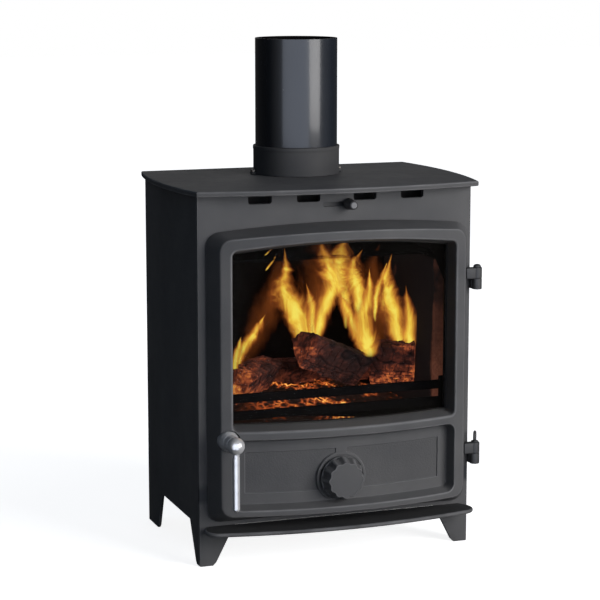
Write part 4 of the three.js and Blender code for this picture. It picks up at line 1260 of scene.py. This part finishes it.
# Near and far depths behind the door's face.
paneDepths = {"gasket": (25.3, 27.3), "glass": (27.6, 31.6), "clamp": (31.9, 34.9)}
paneOutline = shrink(shrink(window["outline"], window["draft"]), -4)
pane = paneSkin("doorPane", paneOutline, *paneDepths["glass"], "glass", 0.8)
belong(pane, "door", "glass", "door_glass")


def bandSkin(name, outer, inner, near, far, skin, edge):
    # A bowed frame between two outlines.
    form = Skin()
    corners = [
        ring(outer, behind(near)), ring(inner, behind(near)), ring(inner, behind(far)),
        ring(outer, behind(far)),
    ]
    closed = soften([corners[3]] + corners + [corners[0]], [edge] * 4, 3)
    closed = closed[1:-1]
    indices = [form.addRing(points) for points in closed]
    for first, second in zip(indices, indices[1:] + indices[:1]):
        form.bridge(first, second)
    piece = form.make(name, skin)
    fixNormals(piece)
    return piece


sightEdge = shrink(shrink(window["outline"], window["draft"]), 1.5)
gasket = bandSkin("paneGasket", paneOutline, sightEdge, *paneDepths["gasket"], "rope", 0.5)
belong(gasket, "door", "rope_seal", "glass_gasket")
clampOutline = shrink(shrink(shrink(window["outline"], window["draft"]), -window["pocket"]), 0.8)
clamp = bandSkin("paneClamp", clampOutline, sightEdge, *paneDepths["clamp"], "iron", 0.6)
belong(clamp, "door", "cast_iron", "glass_clamp")

print("stage: geometry nodes for screws, bolts and rope")


def newTree(name, *inputs):
    tree = bpy.data.node_groups.new(name, "GeometryNodeTree")
    face = tree.interface
    face.new_socket("Geometry", in_out="INPUT", socket_type="NodeSocketGeometry")
    for label, kind, value in inputs:
        socket = face.new_socket(label, in_out="INPUT", socket_type="NodeSocket" + kind)
        if value is not None:
            socket.default_value = value
    face.new_socket("Geometry", in_out="OUTPUT", socket_type="NodeSocketGeometry")
    start = tree.nodes.new("NodeGroupInput")
    end = tree.nodes.new("NodeGroupOutput")

    def add(kind, settings=None, **links):
        node = tree.nodes.new(kind)
        for key, value in (settings or {}).items():
            setattr(node, key, value)
        for key, value in links.items():
            numbered = key[0] == "n" and key[1:].isdigit()
            socket = node.inputs[int(key[1:]) if numbered else key.replace("_", " ")]
            if isinstance(value, bpy.types.NodeSocket):
                tree.links.new(value, socket)
            elif value is not None:
                socket.default_value = value
        return node

    def close(geometry):
        real = add("GeometryNodeRealizeInstances", Geometry=geometry)
        dressedUp = add(
            "GeometryNodeSetMaterial", Geometry=real.outputs[0], Material=start.outputs["Material"]
        )
        tree.links.new(dressedUp.outputs[0], end.inputs[0])

    return tree, start, add, close


def runTree(name, tree, source, values, skin):
    # The tree works on a source mesh; its result becomes one plain mesh.
    holder = bpy.data.objects.new(name, source)
    bpy.context.collection.objects.link(holder)
    change = holder.modifiers.new("shape", "NODES")
    change.node_group = tree
    for item in tree.interface.items_tree:
        if item.item_type == "SOCKET" and item.in_out == "INPUT" and item.name in values:
            change[item.identifier] = values[item.name]
        elif item.item_type == "SOCKET" and item.in_out == "INPUT" and item.name == "Material":
            change[item.identifier] = materials[skin]
    graph = bpy.context.evaluated_depsgraph_get()
    mesh = bpy.data.meshes.new_from_object(holder.evaluated_get(graph))
    bpy.data.objects.remove(holder)
    return finishMesh(name, mesh, (skin,), 40)


def pointMesh(name, points):
    mesh = bpy.data.meshes.new(name)
    mesh.from_pydata([tuple(v * mm for v in point) for point in points], [], [])
    return mesh


def pathMesh(name, points, closed=True):
    count = len(points)
    edges = [(i, (i + 1) % count) for i in range(count if closed else count - 1)]
    mesh = bpy.data.meshes.new(name)
    mesh.from_pydata([tuple(v * mm for v in point) for point in points], edges, [])
    return mesh


def repeatTree():
    tree, start, add, close = newTree(
        "repeatPiece", ("Piece", "Object", None), ("Size", "Float", 1.0), ("Material", "Material", None))
    info = add("GeometryNodeObjectInfo", {"transform_space": "ORIGINAL"}, Object=start.outputs["Piece"])
    spread = add(
        "GeometryNodeInstanceOnPoints", Points=start.outputs["Geometry"], Instance=info.outputs["Geometry"],
        Scale=start.outputs["Size"]
    )
    close(spread.outputs[0])
    return tree


repeatPiece = repeatTree()

screw = {
    "radius": 2.5, "head": 2.0, "shank": 1.2, "length": 10.5, "share": 0.55, "margin": 6.8, "seat": 36.1
}


def screwSpots():
    sight = shrink(window["outline"], window["draft"])
    middle, half = (sight["left"] + sight["right"]) / 2, (sight["right"] - sight["left"]) / 2
    rise = sight["arch"] * (1 - screw["share"] ** 2)
    spots = []
    for side in (-1, 1):
        x = middle + side * screw["share"] * half
        spots += [(x, faceY(x, screw["seat"]), sight["top"] + rise + screw["margin"]),
                  (x, faceY(x, screw["seat"]), sight["bottom"] - screw["margin"])]
    return spots


socketScrew = turned("socketScrew", "darkSteel", rounded([
    (0, -screw["length"]), (screw["shank"], -screw["length"]), (screw["shank"], 0), (screw["radius"], 0),
    (screw["radius"], screw["head"] * 0.55), (screw["radius"] * 0.7, screw["head"]), (1.1, screw["head"]),
    (1.1, screw["head"] * 0.4), (0, screw["head"] * 0.4)], 0.35, 2), (0, 0, 0), "Y", 24)
screws = runTree(
    "paneScrews", repeatPiece, pointMesh("spots", screwSpots()), {"Piece": socketScrew, "Size": 1.0},
    "darkSteel")
belong(screws, "door", "steel", "glass_screw_1", "glass_screw_2", "glass_screw_3", "glass_screw_4")
bpy.data.objects.remove(socketScrew)


def hexHead(name, radius, height, skin):
    form = Skin()
    rings = []
    for z, share in ((0, 1), (height * 0.75, 1), (height, 0.86), (height, 0.7)):
        points = []
        for i in range(36):
            a = 2 * math.pi * i / 36
            flat = radius * math.cos(math.pi / 6) / math.cos((a % (math.pi / 3)) - math.pi / 6)
            points.append((flat * share * math.cos(a), flat * share * math.sin(a), z))
        rings.append(points)
    first, last = form.loft(rings)
    form.cap(first, flip=True)
    form.cap(last)
    piece = form.make(name, skin)
    fixNormals(piece)
    return piece


bolt = hexHead("bolt", 4, 3, "darkSteel")
boltSpots = [
    (x, pipeSizes["y"], collarSizes["boltLow"]) for x in (-collarSizes["bolt"], collarSizes["bolt"])
]
bolts = runTree(
    "collarBolts", repeatPiece, pointMesh("spots", boltSpots), {"Piece": bolt, "Size": 1.0}, "darkSteel")
belong(bolts, "stove_body", "steel", "collar_bolt_left", "collar_bolt_right")
bpy.data.objects.remove(bolt)


def ropeTree():
    # A path becomes a rope: a lobed section that twists at a steady rate along it.
    tree, start, add, close = newTree(
        "twistedRope", ("Radius", "Float", 0.0035), ("Lobe", "Float", 0.0005), ("Lobes", "Int", 5),
        ("Steps", "Int", 700), ("Turns", "Float", 70.0), ("Material", "Material", None))
    curve = add("GeometryNodeMeshToCurve", Mesh=start.outputs["Geometry"])
    even = add("GeometryNodeResampleCurve", Curve=curve.outputs[0], Count=start.outputs["Steps"])
    share = add("GeometryNodeSplineParameter")
    full = add("ShaderNodeMath", {"operation": "MULTIPLY"}, n0=start.outputs["Turns"], n1=2 * math.pi)
    tilt = add("ShaderNodeMath", {"operation": "MULTIPLY"}, n0=share.outputs["Factor"], n1=full.outputs[0])
    twist = add("GeometryNodeSetCurveTilt", Curve=even.outputs[0], Tilt=tilt.outputs[0])
    circle = add("GeometryNodeCurvePrimitiveCircle", Resolution=20, Radius=start.outputs["Radius"])
    place = add("GeometryNodeInputPosition")
    parts = add("ShaderNodeSeparateXYZ", Vector=place.outputs[0])
    angle = add("ShaderNodeMath", {"operation": "ARCTAN2"}, n0=parts.outputs[1], n1=parts.outputs[0])
    wave = add("ShaderNodeMath", {"operation": "MULTIPLY"}, n0=angle.outputs[0], n1=start.outputs["Lobes"])
    height = add("ShaderNodeMath", {"operation": "COSINE"}, n0=wave.outputs[0])
    reach = add("ShaderNodeMath", {"operation": "MULTIPLY"}, n0=height.outputs[0], n1=start.outputs["Lobe"])
    out = add("ShaderNodeVectorMath", {"operation": "NORMALIZE"}, n0=place.outputs[0])
    push = add("ShaderNodeVectorMath", {"operation": "SCALE"}, n0=out.outputs[0], Scale=reach.outputs[0])
    lobed = add("GeometryNodeSetPosition", Geometry=circle.outputs[0], Offset=push.outputs[0])
    tube = add("GeometryNodeCurveToMesh", Curve=twist.outputs[0], Profile_Curve=lobed.outputs[0])
    close(tube.outputs[0])
    return tree


ropePath = shrink(door["outline"], rope["inset"])
ropePoints = [(x, door["plate"] - 3.2, z) for x, z in roundedOutline(**ropePath)]
sealRope = runTree(
    "sealRope", ropeTree(), pathMesh("path", ropePoints),
    {"Radius": 0.0024, "Lobe": 0.00035, "Lobes": 4, "Steps": 900, "Turns": 120.0}, "rope")
fixNormals(sealRope)
belong(sealRope, "door", "rope_seal", "door_rope")

print("stage: handle and latch")

ball = {"x": -179, "y": -168.5, "z": 196, "radius": 13, "play": 0.3}
hub = {"back": -122.8, "step": -144.5, "collar": 15.5, "neck": 11.5, "spindle": 5, "tip": -86.9}
grip = {"radius": 5.5, "foot": 97}


def arc(centre, radius, first, last, steps):
    # Points (radius, height) of a round profile between two angles in degrees.
    turns = [math.radians(first + (last - first) * i / steps) for i in range(steps + 1)]
    return [(max(radius * math.cos(a), 0.0), centre + radius * math.sin(a)) for a in turns]


def seatOn(radius, play=ball["play"]):
    return math.sqrt((ball["radius"] + play) ** 2 - radius ** 2)


ballTop = arc(ball["z"], ball["radius"], 72, 90, 4)
ballProfile = arc(ball["z"], ball["radius"], -90, 72, 40) + ballTop[1:]
handleBall = turned("handleBallTurned", "chrome", ballProfile, (ball["x"], ball["y"], 0))
belong(handleBall, "handle", "chrome", "handle_ball")

hubFace = ball["y"] + seatOn(hub["neck"] - 1.2)
hubProfile = rounded([
    (0, hub["tip"]), (4, hub["tip"]), (hub["spindle"], hub["tip"] - 1), (hub["spindle"], hub["back"]),
    (hub["collar"] - 1.5, hub["back"]), (hub["collar"], hub["back"] - 1.5),
    (hub["collar"], hub["step"] + 7), (hub["neck"] + 0.6, hub["step"] + 0.6)], 3.6, 6)
hubProfile += rounded([
    (hub["neck"] + 0.6, hub["step"] + 0.5), (hub["neck"], hub["step"]), (hub["neck"], hubFace),
    (hub["neck"] - 1.2, hubFace), (8, ball["y"] + seatOn(8)), (4, ball["y"] + seatOn(4)),
    (0, ball["y"] + seatOn(0))], 0.8, 3)
handleHub = turned("handleHubTurned", "chrome", hubProfile, (ball["x"], 0, ball["z"]), "Y")
belong(handleHub, "handle", "chrome", "handle_hub")

rodTop = ball["z"] - seatOn(grip["radius"])
rodProfile = arc(grip["foot"] + grip["radius"], grip["radius"], -90, 0, 10)
rodProfile += [
    (grip["radius"], rodTop - 4), (grip["radius"] - 0.5, rodTop - 3.6),
    (grip["radius"] - 0.5, rodTop - 1.2), (grip["radius"], rodTop - 0.8), (grip["radius"], rodTop),
    (0, ball["z"] - seatOn(0))]
handleRod = turned("handleRodTurned", "chrome", rodProfile, (ball["x"], ball["y"], 0), steps=48)
belong(handleRod, "handle", "chrome", "handle_rod")

smallParts = {
    "latch_cam": ("handle", "steel", "darkSteel", 0.6), "latch_nut": ("handle", "steel", "darkSteel", 0.4),
    "airwash_plate": ("airwash_slider", "steel", "slidePlate", 0.3),
    "airwash_clip_left": ("stove_body", "steel", "darkSteel", 0.4),
    "airwash_clip_right": ("stove_body", "steel", "darkSteel", 0.4),
    "airwash_duct": ("stove_body", "cast_iron", "iron", 0.4),
    "wheel_stud": ("air_disc", "steel", "darkSteel", 0.4), "wheel_nut": ("door", "steel", "darkSteel", 0.5),
    "hearth_plate": ("stove_body", "cast_iron", "iron", 0.8),
    "grate": ("stove_body", "cast_iron", "iron", 0.8),
    "baffle_plate": ("stove_body", "cast_iron", "soot", 0.8),
    "fire_fence": ("stove_body", "cast_iron", "soot", 1.1),
    "brick_left": ("stove_body", "fire_brick", "brick", 1.4),
    "brick_right": ("stove_body", "fire_brick", "brick", 1.4),
    "brick_rear": ("stove_body", "fire_brick", "rearBrick", 1.4),
    "ash_pan": ("ash_pan", "steel", "steel", 0.5), "ash_pan_grip": ("ash_pan", "steel", "darkSteel", 0.8),
}
for node, (body, slotName, skin, edge) in smallParts.items():
    belong(dressed(node, skin, edge), body, slotName, node)

print("stage: air wheel and slider")

wheelParts = {
    "disc": 33, "discThickness": 4, "gap": 0.3, "knob": 27, "flare": 1.18, "lobe": 1.2, "lobes": 12,
    "depth": 19, "bore": 6.3, "boreDepth": 10.25,
}


def roundAt(radius, y, count=144):
    turns = [2 * math.pi * i / count for i in range(count)]
    return [(airWheel["x"] + radius * math.cos(a), y, airWheel["z"] + radius * math.sin(a)) for a in turns]


def lobedAt(scale, y, lobeShare=1.0, count=144):
    points = []
    for i in range(count):
        a = 2 * math.pi * i / count
        lobe = lobeShare * wheelParts["lobe"] * math.cos(wheelParts["lobes"] * a)
        radius = scale * (wheelParts["knob"] + lobe)
        points.append((airWheel["x"] + radius * math.cos(a), y, airWheel["z"] + radius * math.sin(a)))
    return points


def spinWheelSkin():
    back = wheelY - 2 * wheelParts["gap"] - wheelParts["discThickness"]
    front = back - wheelParts["depth"]
    bore = wheelParts["bore"]
    inner = [roundAt(bore, back - wheelParts["boreDepth"]), roundAt(bore, back)]
    flare = wheelParts["flare"]
    outer = [
        lobedAt(flare - 0.06, back), lobedAt(flare, back - 3), lobedAt(1.0, front + 1),
        lobedAt(0.975, front), lobedAt(0.93, front),
    ]
    rim = soften(outer, [1.2, 0.5, 0.4], 4)
    face = [lobedAt(0.915, front + 0.35), lobedAt(0.5, front + 0.3, 0.4), roundAt(7, front + 0.25)]
    form = Skin()
    first, last = form.loft(inner + rim + face)
    form.cap(first, flip=True)
    form.cap(last)
    wheel = form.make("spinWheelLobed", "paint")
    fixNormals(wheel)
    return wheel


belong(markWearAndHighlight(spinWheelSkin()), "spin_wheel", "heat_paint", "spin_wheel")

discBack = wheelY - wheelParts["gap"]
discFront = discBack - wheelParts["discThickness"]
discProfile = [(wheelParts["bore"], discBack)] + rounded([
    (wheelParts["disc"] - 3, discBack), (wheelParts["disc"], discBack), (wheelParts["disc"], discFront),
    (wheelParts["disc"] - 3, discFront)], 1.2, 4) + [(wheelParts["bore"], discFront)]
airDisc = turned("airDiscTurned", "hingePaint", discProfile, (airWheel["x"], 0, airWheel["z"]), "Y")
belong(airDisc, "air_disc", "heat_paint", "air_disc")

slider = {
    "x": 18, "z": 534.8, "back": -105.5, "front": -129.5, "rear": 8.6, "fore": 6.4, "rod": 2.9,
    "root": -95.2, "disc": 4.6, "grooves": (-110, -115, -120, -125), "grooveHalf": 0.9, "grooveDepth": 0.6,
}


def knobRadius(y):
    share = (y - slider["front"]) / (slider["back"] - slider["front"])
    return slider["fore"] + (slider["rear"] - slider["fore"]) * share


def knobProfile():
    points = [
        (0, slider["root"]), (slider["rod"], slider["root"]), (slider["rod"], slider["back"]),
        (slider["rear"] - 0.8, slider["back"]), (slider["rear"], slider["back"] - 0.8)]
    for groove in slider["grooves"]:
        radius, half = knobRadius(groove), slider["grooveHalf"]
        points += [
            (radius, groove + half), (radius - slider["grooveDepth"], groove), (radius, groove - half)
        ]
    points += [
        (slider["fore"], slider["front"] + 1), (slider["fore"] - 1, slider["front"]),
        (slider["disc"], slider["front"]), (slider["disc"], slider["front"] + 0.8),
        (0, slider["front"] + 0.8)]
    return rounded(points, 0.4, 3)


sliderPlace = (slider["x"], 0, slider["z"])
airwashKnob = turned("airwashKnobTurned", "knobPaint", knobProfile(), sliderPlace, "Y", 64)
belong(airwashKnob, "airwash_slider", "heat_paint", "airwash_knob")
rim = slider["disc"] - 0.2
knobDisc = turned("knobDisc", "slideFace", [
    (0, slider["front"] + 0.75), (rim, slider["front"] + 0.75), (rim, slider["front"] + 0.3),
    (slider["disc"] - 0.5, slider["front"]), (1.4, slider["front"]), (1.1, slider["front"] + 0.25),
    (0, slider["front"] + 0.25)], sliderPlace, "Y", 48)
belong(knobDisc, "airwash_slider", "steel", "airwash_knob")

print("stage: logs and embers")

# Each log's middle and turns, the end that glows (from where, and which way) and how much it glows.
logFacts = {
    "log_left": {
        "centre": (-100, 1, 244), "yaw": -0.75, "tilt": 0, "roll": 0, "seed": 3, "hot": (-0.1, -1.0),
        "glow": 1.0,
    },
    "log_middle": {
        "centre": (25, -9, 270), "yaw": 1.87, "tilt": 0.4, "roll": 0.15, "seed": 11, "hot": (0.2, 1.0),
        "glow": 0.62,
    },
    "log_right": {
        "centre": (138, 14, 252), "yaw": 1.15, "tilt": 0, "roll": 0.1, "seed": 23, "hot": (-0.2, -1.0),
        "glow": 1.0,
    },
    "log_rear": {
        "centre": (4, 97, 234), "yaw": 1.55, "tilt": 0, "roll": 0, "seed": 31, "hot": (0.5, 0.0),
        "glow": 0.5,
    },
}
charCells = {
    "along": 17, "around": 10, "warp": 5, "width": 1.3, "depth": 2.4, "swell": 2.2, "voxel": 1.5,
    "endBand": 5, "shadeFrom": 14, "shade": 0.6,
}


def meshCopy(name, node, voxel):
    # A merged copy of a CAD node, remeshed into small even faces.
    form = bmesh.new()
    form.from_mesh(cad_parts[node].data)
    bmesh.ops.remove_doubles(form, verts=form.verts, dist=2e-6)
    mesh = bpy.data.meshes.new(name)
    form.to_mesh(mesh)
    form.free()
    piece = bpy.data.objects.new(name, mesh)
    bpy.context.collection.objects.link(piece)
    change = piece.modifiers.new("even", "REMESH")
    change.mode = "VOXEL"
    change.voxel_size = voxel * mm
    smooth = piece.modifiers.new("soft", "SMOOTH")
    smooth.iterations = 3
    return bakeModifiers(piece)


def wave(place, size, seed):
    return noise.noise(Vector((place[0] / size + seed * 7.3, place[1] / size, place[2] / size)))


def charLog(node, facts):
    piece = meshCopy(node + "Charred", node, charCells["voxel"])
    spin = Euler((facts["tilt"], facts["roll"], facts["yaw"]), "XYZ").to_matrix().to_4x4()
    inverse = (Matrix.Translation(Vector(facts["centre"]) * mm) @ spin).inverted()
    mesh = piece.data
    cracks, heats, places = [], [], []
    seed = facts["seed"]
    reach = max(abs((inverse @ v.co).y) for v in mesh.vertices) / mm
    for vertex, normal in zip(mesh.vertices, mesh.vertex_normals):
        local = (inverse @ vertex.co) / mm
        flat = (local.x, local.y, local.z)
        warp = charCells["warp"] * wave(flat, 26, seed)
        along = local.y + warp * 1.6
        around = math.atan2(local.x, local.z + 6) * 24 + charCells["warp"] * wave(flat, 21, seed + 5)
        row = math.floor(around / charCells["around"])
        along += (row % 2) * charCells["along"] * 0.43
        acrossGap = abs(around / charCells["around"] - row - 0.5) * charCells["around"]
        column = math.floor(along / charCells["along"])
        alongGap = abs(along / charCells["along"] - column - 0.5) * charCells["along"]
        acrossGap = charCells["around"] / 2 - acrossGap
        alongGap = charCells["along"] / 2 - alongGap
        width = charCells["width"] * (1 + 0.7 * wave(flat, 15, seed + 9))
        near = min(acrossGap, alongGap * 1.15)
        crack = max(0.0, 1 - near / max(width, 0.3)) if near < width else 0.0
        end = abs(local.y) > reach - charCells["endBand"]
        shade = 1.0 if local.z < charCells["shadeFrom"] else charCells["shade"]
        crack = crack * (0.45 if end else 1.0)
        lump = charCells["swell"] * wave(flat, 18, seed + 3) + 0.8 * wave(flat, 6, seed + 4)
        shift = min(lump, 0.6) - charCells["depth"] * crack - 0.5
        places.append(vertex.co + normal.vector * (shift * mm))
        side, sense = facts["hot"]
        nearEnd = max(0.0, (sense * local.y / reach - side) / max(1 - side, 0.1)) if sense else 0.4
        low = max(0.0, 1 - (local.z + 22) / 26)
        patch = max(0.0, wave(flat, 24, seed + 1) + 0.2)
        heat = min(1.0, shade * facts["glow"] * (0.34 + 0.6 * nearEnd + 0.45 * low + 0.35 * patch))
        cracks.append(crack)
        heats.append(heat)
    for vertex, place in zip(mesh.vertices, places):
        vertex.co = place
    for label, values in (("crack", cracks), ("burning", heats)):
        layer = mesh.attributes.new(label, "FLOAT", "POINT")
        layer.data.foreach_set("value", values)
    finished = finishMesh(node + "Burnt", mesh, ("log",), 50)
    bpy.data.objects.remove(piece)
    return finished


for node, facts in logFacts.items():
    belong(charLog(node, facts), "stove_body", "charred_wood", node)

emberFacts = {"voxel": 2.6, "swell": 3.0, "fine": 1.2, "still": 194, "height": 50, "margin": 0.008}


def emberHeap():
    piece = meshCopy("emberHeap", "ember_bed", emberFacts["voxel"])
    for vertex in piece.data.vertices:
        place = tuple(v / mm for v in vertex.co)
        share = min(1.0, max(0.0, (place[2] - emberFacts["still"]) / 8))
        lump = emberFacts["swell"] * (wave(place, 11, 2) - 0.5) + emberFacts["fine"] * wave(place, 4, 6)
        vertex.co.z += share * min(lump, 0.4) * mm
    finished = finishMesh("emberBedHeap", piece.data, ("coal",), 60)
    bpy.data.objects.remove(piece)
    return finished


belong(emberHeap(), "stove_body", "embers", "ember_bed")


def coalLump():
    form = bmesh.new()
    bmesh.ops.create_icosphere(form, subdivisions=2, radius=1)
    for vertex in form.verts:
        spot = vertex.co * 1.6
        vertex.co *= 0.8 + 0.35 * noise.cell(spot) + 0.2 * noise.noise(spot * 2)
        vertex.co.z *= 0.75
    mesh = bpy.data.meshes.new("coalLump")
    form.to_mesh(mesh)
    form.free()
    return finishMesh("coalLump", mesh, ("coal",), 20)


def scatterTree():
    # Lumps spread at random over a sheet, each with its own turn and size.
    tree, start, add, close = newTree(
        "scatteredLumps", ("Lump", "Object", None), ("Density", "Float", 9000.0),
        ("Smallest", "Float", 0.003), ("Largest", "Float", 0.007), ("Seed", "Int", 5),
        ("Material", "Material", None))
    given = start.outputs
    spread = add(
        "GeometryNodeDistributePointsOnFaces", Mesh=given["Geometry"], Density=given["Density"],
        Seed=given["Seed"])
    info = add("GeometryNodeObjectInfo", {"transform_space": "ORIGINAL"}, Object=given["Lump"])
    turn = add(
        "FunctionNodeRandomValue", {"data_type": "FLOAT_VECTOR"}, n0=(0, 0, 0), n1=(6.28, 6.28, 6.28),
        Seed=given["Seed"])
    size = add(
        "FunctionNodeRandomValue", {"data_type": "FLOAT"}, n2=given["Smallest"], n3=given["Largest"],
        Seed=given["Seed"])
    lumps = add(
        "GeometryNodeInstanceOnPoints", Points=spread.outputs["Points"], Instance=info.outputs["Geometry"],
        Rotation=turn.outputs[0], Scale=size.outputs[1])
    close(lumps.outputs[0])
    return tree


def coalSheet():
    # The ground that the coals lie on: a soft heap just inside the ember bed's top.
    low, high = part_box("ember_bed")
    points, faces = [], []
    across, deep = 32, 20
    margin = emberFacts["margin"]
    for j in range(deep + 1):
        for i in range(across + 1):
            u, v = i / across, j / deep
            edge = min(1, 4 * min(u, 1 - u), 4 * min(v, 1 - v))
            waves = 0.28 * math.sin(17 * u + 3 * v) * math.cos(11 * v - 5 * u)
            height = emberFacts["height"] * (
                0.28 + 0.36 * edge + 0.3 * (0.5 + waves + 0.2 * math.sin(31 * u * v)) * edge
            )
            x = low[0] + margin + (high[0] - low[0] - 2 * margin) * u
            y = low[1] + margin + (high[1] - low[1] - 2 * margin) * v
            points.append((x, y, low[2] + (height - 4.5) * mm))
    for j in range(deep):
        for i in range(across):
            a = j * (across + 1) + i
            faces.append((a, a + 1, a + across + 2, a + across + 1))
    mesh = bpy.data.meshes.new("coalSheet")
    mesh.from_pydata(points, [], faces)
    return mesh


lumpPiece = coalLump()
coalValues = {"Lump": lumpPiece, "Density": 8000.0, "Smallest": 0.003, "Largest": 0.0062, "Seed": 5}
coals = runTree("looseCoals", scatterTree(), coalSheet(), coalValues, "coal")
belong(coals, "stove_body", "embers", "ember_bed")
bpy.data.objects.remove(lumpPiece)

print("stage: flames")

# Each tongue is a list of stations (x, y, z, half width) from its foot to its tip.
tongues = {
    "leftLow": [
        (-126, -10, 256, 5), (-122, 0, 286, 6), (-110, 0, 310, 9), (-91, 5, 332, 8), (-74, 10, 354, 2)
    ],
    "farLeft": [(-136, -30, 262, 2), (-136, -30, 290, 4), (-132, -30, 310, 5), (-126, -30, 330, 1)],
    "leftMain": [
        (-6, 20, 270, 3), (-9, 20, 300, 7), (-14, 20, 334, 15), (-30, 15, 371, 20), (-44, 5, 395, 17),
        (-49, -15, 426, 9), (-62, -45, 466, 2)
    ],
    "leftSecond": [(6, 30, 290, 3), (8, 30, 320, 6), (9, 30, 357, 8), (-4, 20, 398, 2)],
    "centreLeft": [
        (14, 20, 280, 3), (16, 20, 323, 7), (25, 15, 361, 12), (35, 5, 395, 16), (16, -20, 434, 15),
        (-7, -50, 476, 9)
    ],
    "centreMiddle": [
        (66, 30, 320, 3), (64, 30, 358, 8), (48, 15, 396, 15), (35, -20, 434, 18), (34, -50, 478, 10)
    ],
    "centreRight": [
        (86, 0, 270, 4), (84, 0, 298, 9), (73, 0, 323, 12), (60, 10, 354, 10), (50, 20, 382, 3)
    ],
    "column": [
        (86, -25, 284, 8), (85, -25, 296, 10), (80, -25, 316, 15), (75, -20, 345, 14), (85, -20, 385, 8),
        (83, -25, 424, 2)
    ],
    "columnTop": [
        (86, 25, 330, 4), (85, 20, 366, 9), (73, 5, 396, 13), (57, -20, 427, 11), (64, -45, 456, 2)
    ],
    "rightMain": [
        (148, 10, 265, 4), (146, 10, 296, 10), (142, 10, 333, 16), (130, 5, 366, 17), (117, -10, 401, 9),
        (114, -40, 446, 3)
    ],
    "rightSecond": [(160, 0, 275, 3), (160, 0, 302, 8), (159, 0, 343, 10), (152, -5, 390, 2)],
    "rightThin": [(110, 20, 330, 2), (112, 20, 365, 4), (115, 10, 395, 5), (118, -10, 428, 1)],
    "hazeLeft": [
        (-104, 30, 262, 8), (-84, 30, 318, 17), (-62, 25, 372, 20), (-52, 10, 424, 11), (-58, -10, 452, 3)
    ],
    "hazeMiddle": [
        (0, 40, 290, 12), (16, 40, 340, 22), (24, 35, 392, 26), (20, 15, 440, 24), (12, 0, 478, 14)
    ],
    "hazeRight": [
        (128, 35, 280, 11), (126, 35, 332, 20), (112, 30, 382, 20), (106, 15, 428, 11), (110, 0, 456, 3)
    ],
    "sparkLow": [(-83, -20, 427, 1), (-75, -20, 437, 2), (-67, -20, 449, 1)],
    "sparkHigh": [(-88, -30, 452, 1), (-82, -30, 456, 1.4), (-76, -30, 461, 1)],
}
flameFacts = {
    "around": 20, "steps": 44, "flat": 0.34, "ragged": 0.2, "sway": 2.2, "spread": 1.75, "hazeDensity": 0.3
}


def alongCurve(stations, t):
    # A smooth curve through the stations.
    span = t * (len(stations) - 1)
    i = min(int(span), len(stations) - 2)
    f = span - i
    before, first = Vector(stations[max(i - 1, 0)]), Vector(stations[i])
    second, after = Vector(stations[i + 1]), Vector(stations[min(i + 2, len(stations) - 1)])
    return 0.5 * (2 * first + (second - before) * f + (2 * before - 5 * first + 4 * second - after) * f ** 2
                  + (3 * first - before - 3 * second + after) * f ** 3)


def flameTongue(name, stations, seed):
    heading = math.radians(camera["yaw"])
    across = Vector((math.cos(heading), -math.sin(heading), 0))
    deep = Vector((math.sin(heading), math.cos(heading), 0))
    form = Skin()
    rings, marks = [], []
    steps, around = flameFacts["steps"], flameFacts["around"]
    for j in range(steps + 1):
        t = j / steps
        x, y, z, half = alongCurve([tuple(s) for s in stations], t)
        centre = Vector((x, y, z))
        spot = (z / 16 + seed * 3.1, seed * 1.7, 0)
        centre += across * flameFacts["sway"] * noise.noise(Vector(spot)) * min(1, 4 * (1 - t))
        edge = min(1.0, 3 * t + 0.6, 6 * (1 - t) + 0.08)
        points = []
        for i in range(around):
            a = 2 * math.pi * i / around
            side = 1 if math.cos(a) > 0 else 2
            tear = noise.noise(Vector((z / 9, seed + side * 5.3, 1)))
            rag = 1 + flameFacts["ragged"] * abs(math.cos(a)) * tear
            width = max(half, 0.6) * flameFacts["spread"] * edge * rag
            aside = across * width * math.cos(a)
            points.append(tuple(centre + aside + deep * width * flameFacts["flat"] * math.sin(a)))
            marks.append((0.5 + 0.5 * math.cos(a), t))
        rings.append(form.addRing(points))
    for first, second in zip(rings, rings[1:]):
        form.bridge(second, first)
    form.cap(rings[0], flip=False)
    form.cap(rings[-1], flip=True)
    tongue = form.make(name, "flame", angle=180)
    fixNormals(tongue)
    thick = tongue.data.attributes.new("dense", "FLOAT", "POINT")
    share = flameFacts["hazeDensity"] if name.startswith("haze") else 1.0
    thick.data.foreach_set("value", [share] * len(tongue.data.vertices))
    layer = tongue.data.uv_layers.new(name="flow")
    for loop in tongue.data.loops:
        layer.data[loop.index].uv = marks[loop.vertex_index]
    return tongue


flames = [flameTongue(name, stations, index + 1) for index, (name, stations) in enumerate(tongues.items())]
belong(joinPieces("flames", *flames), "stove_body", "embers")
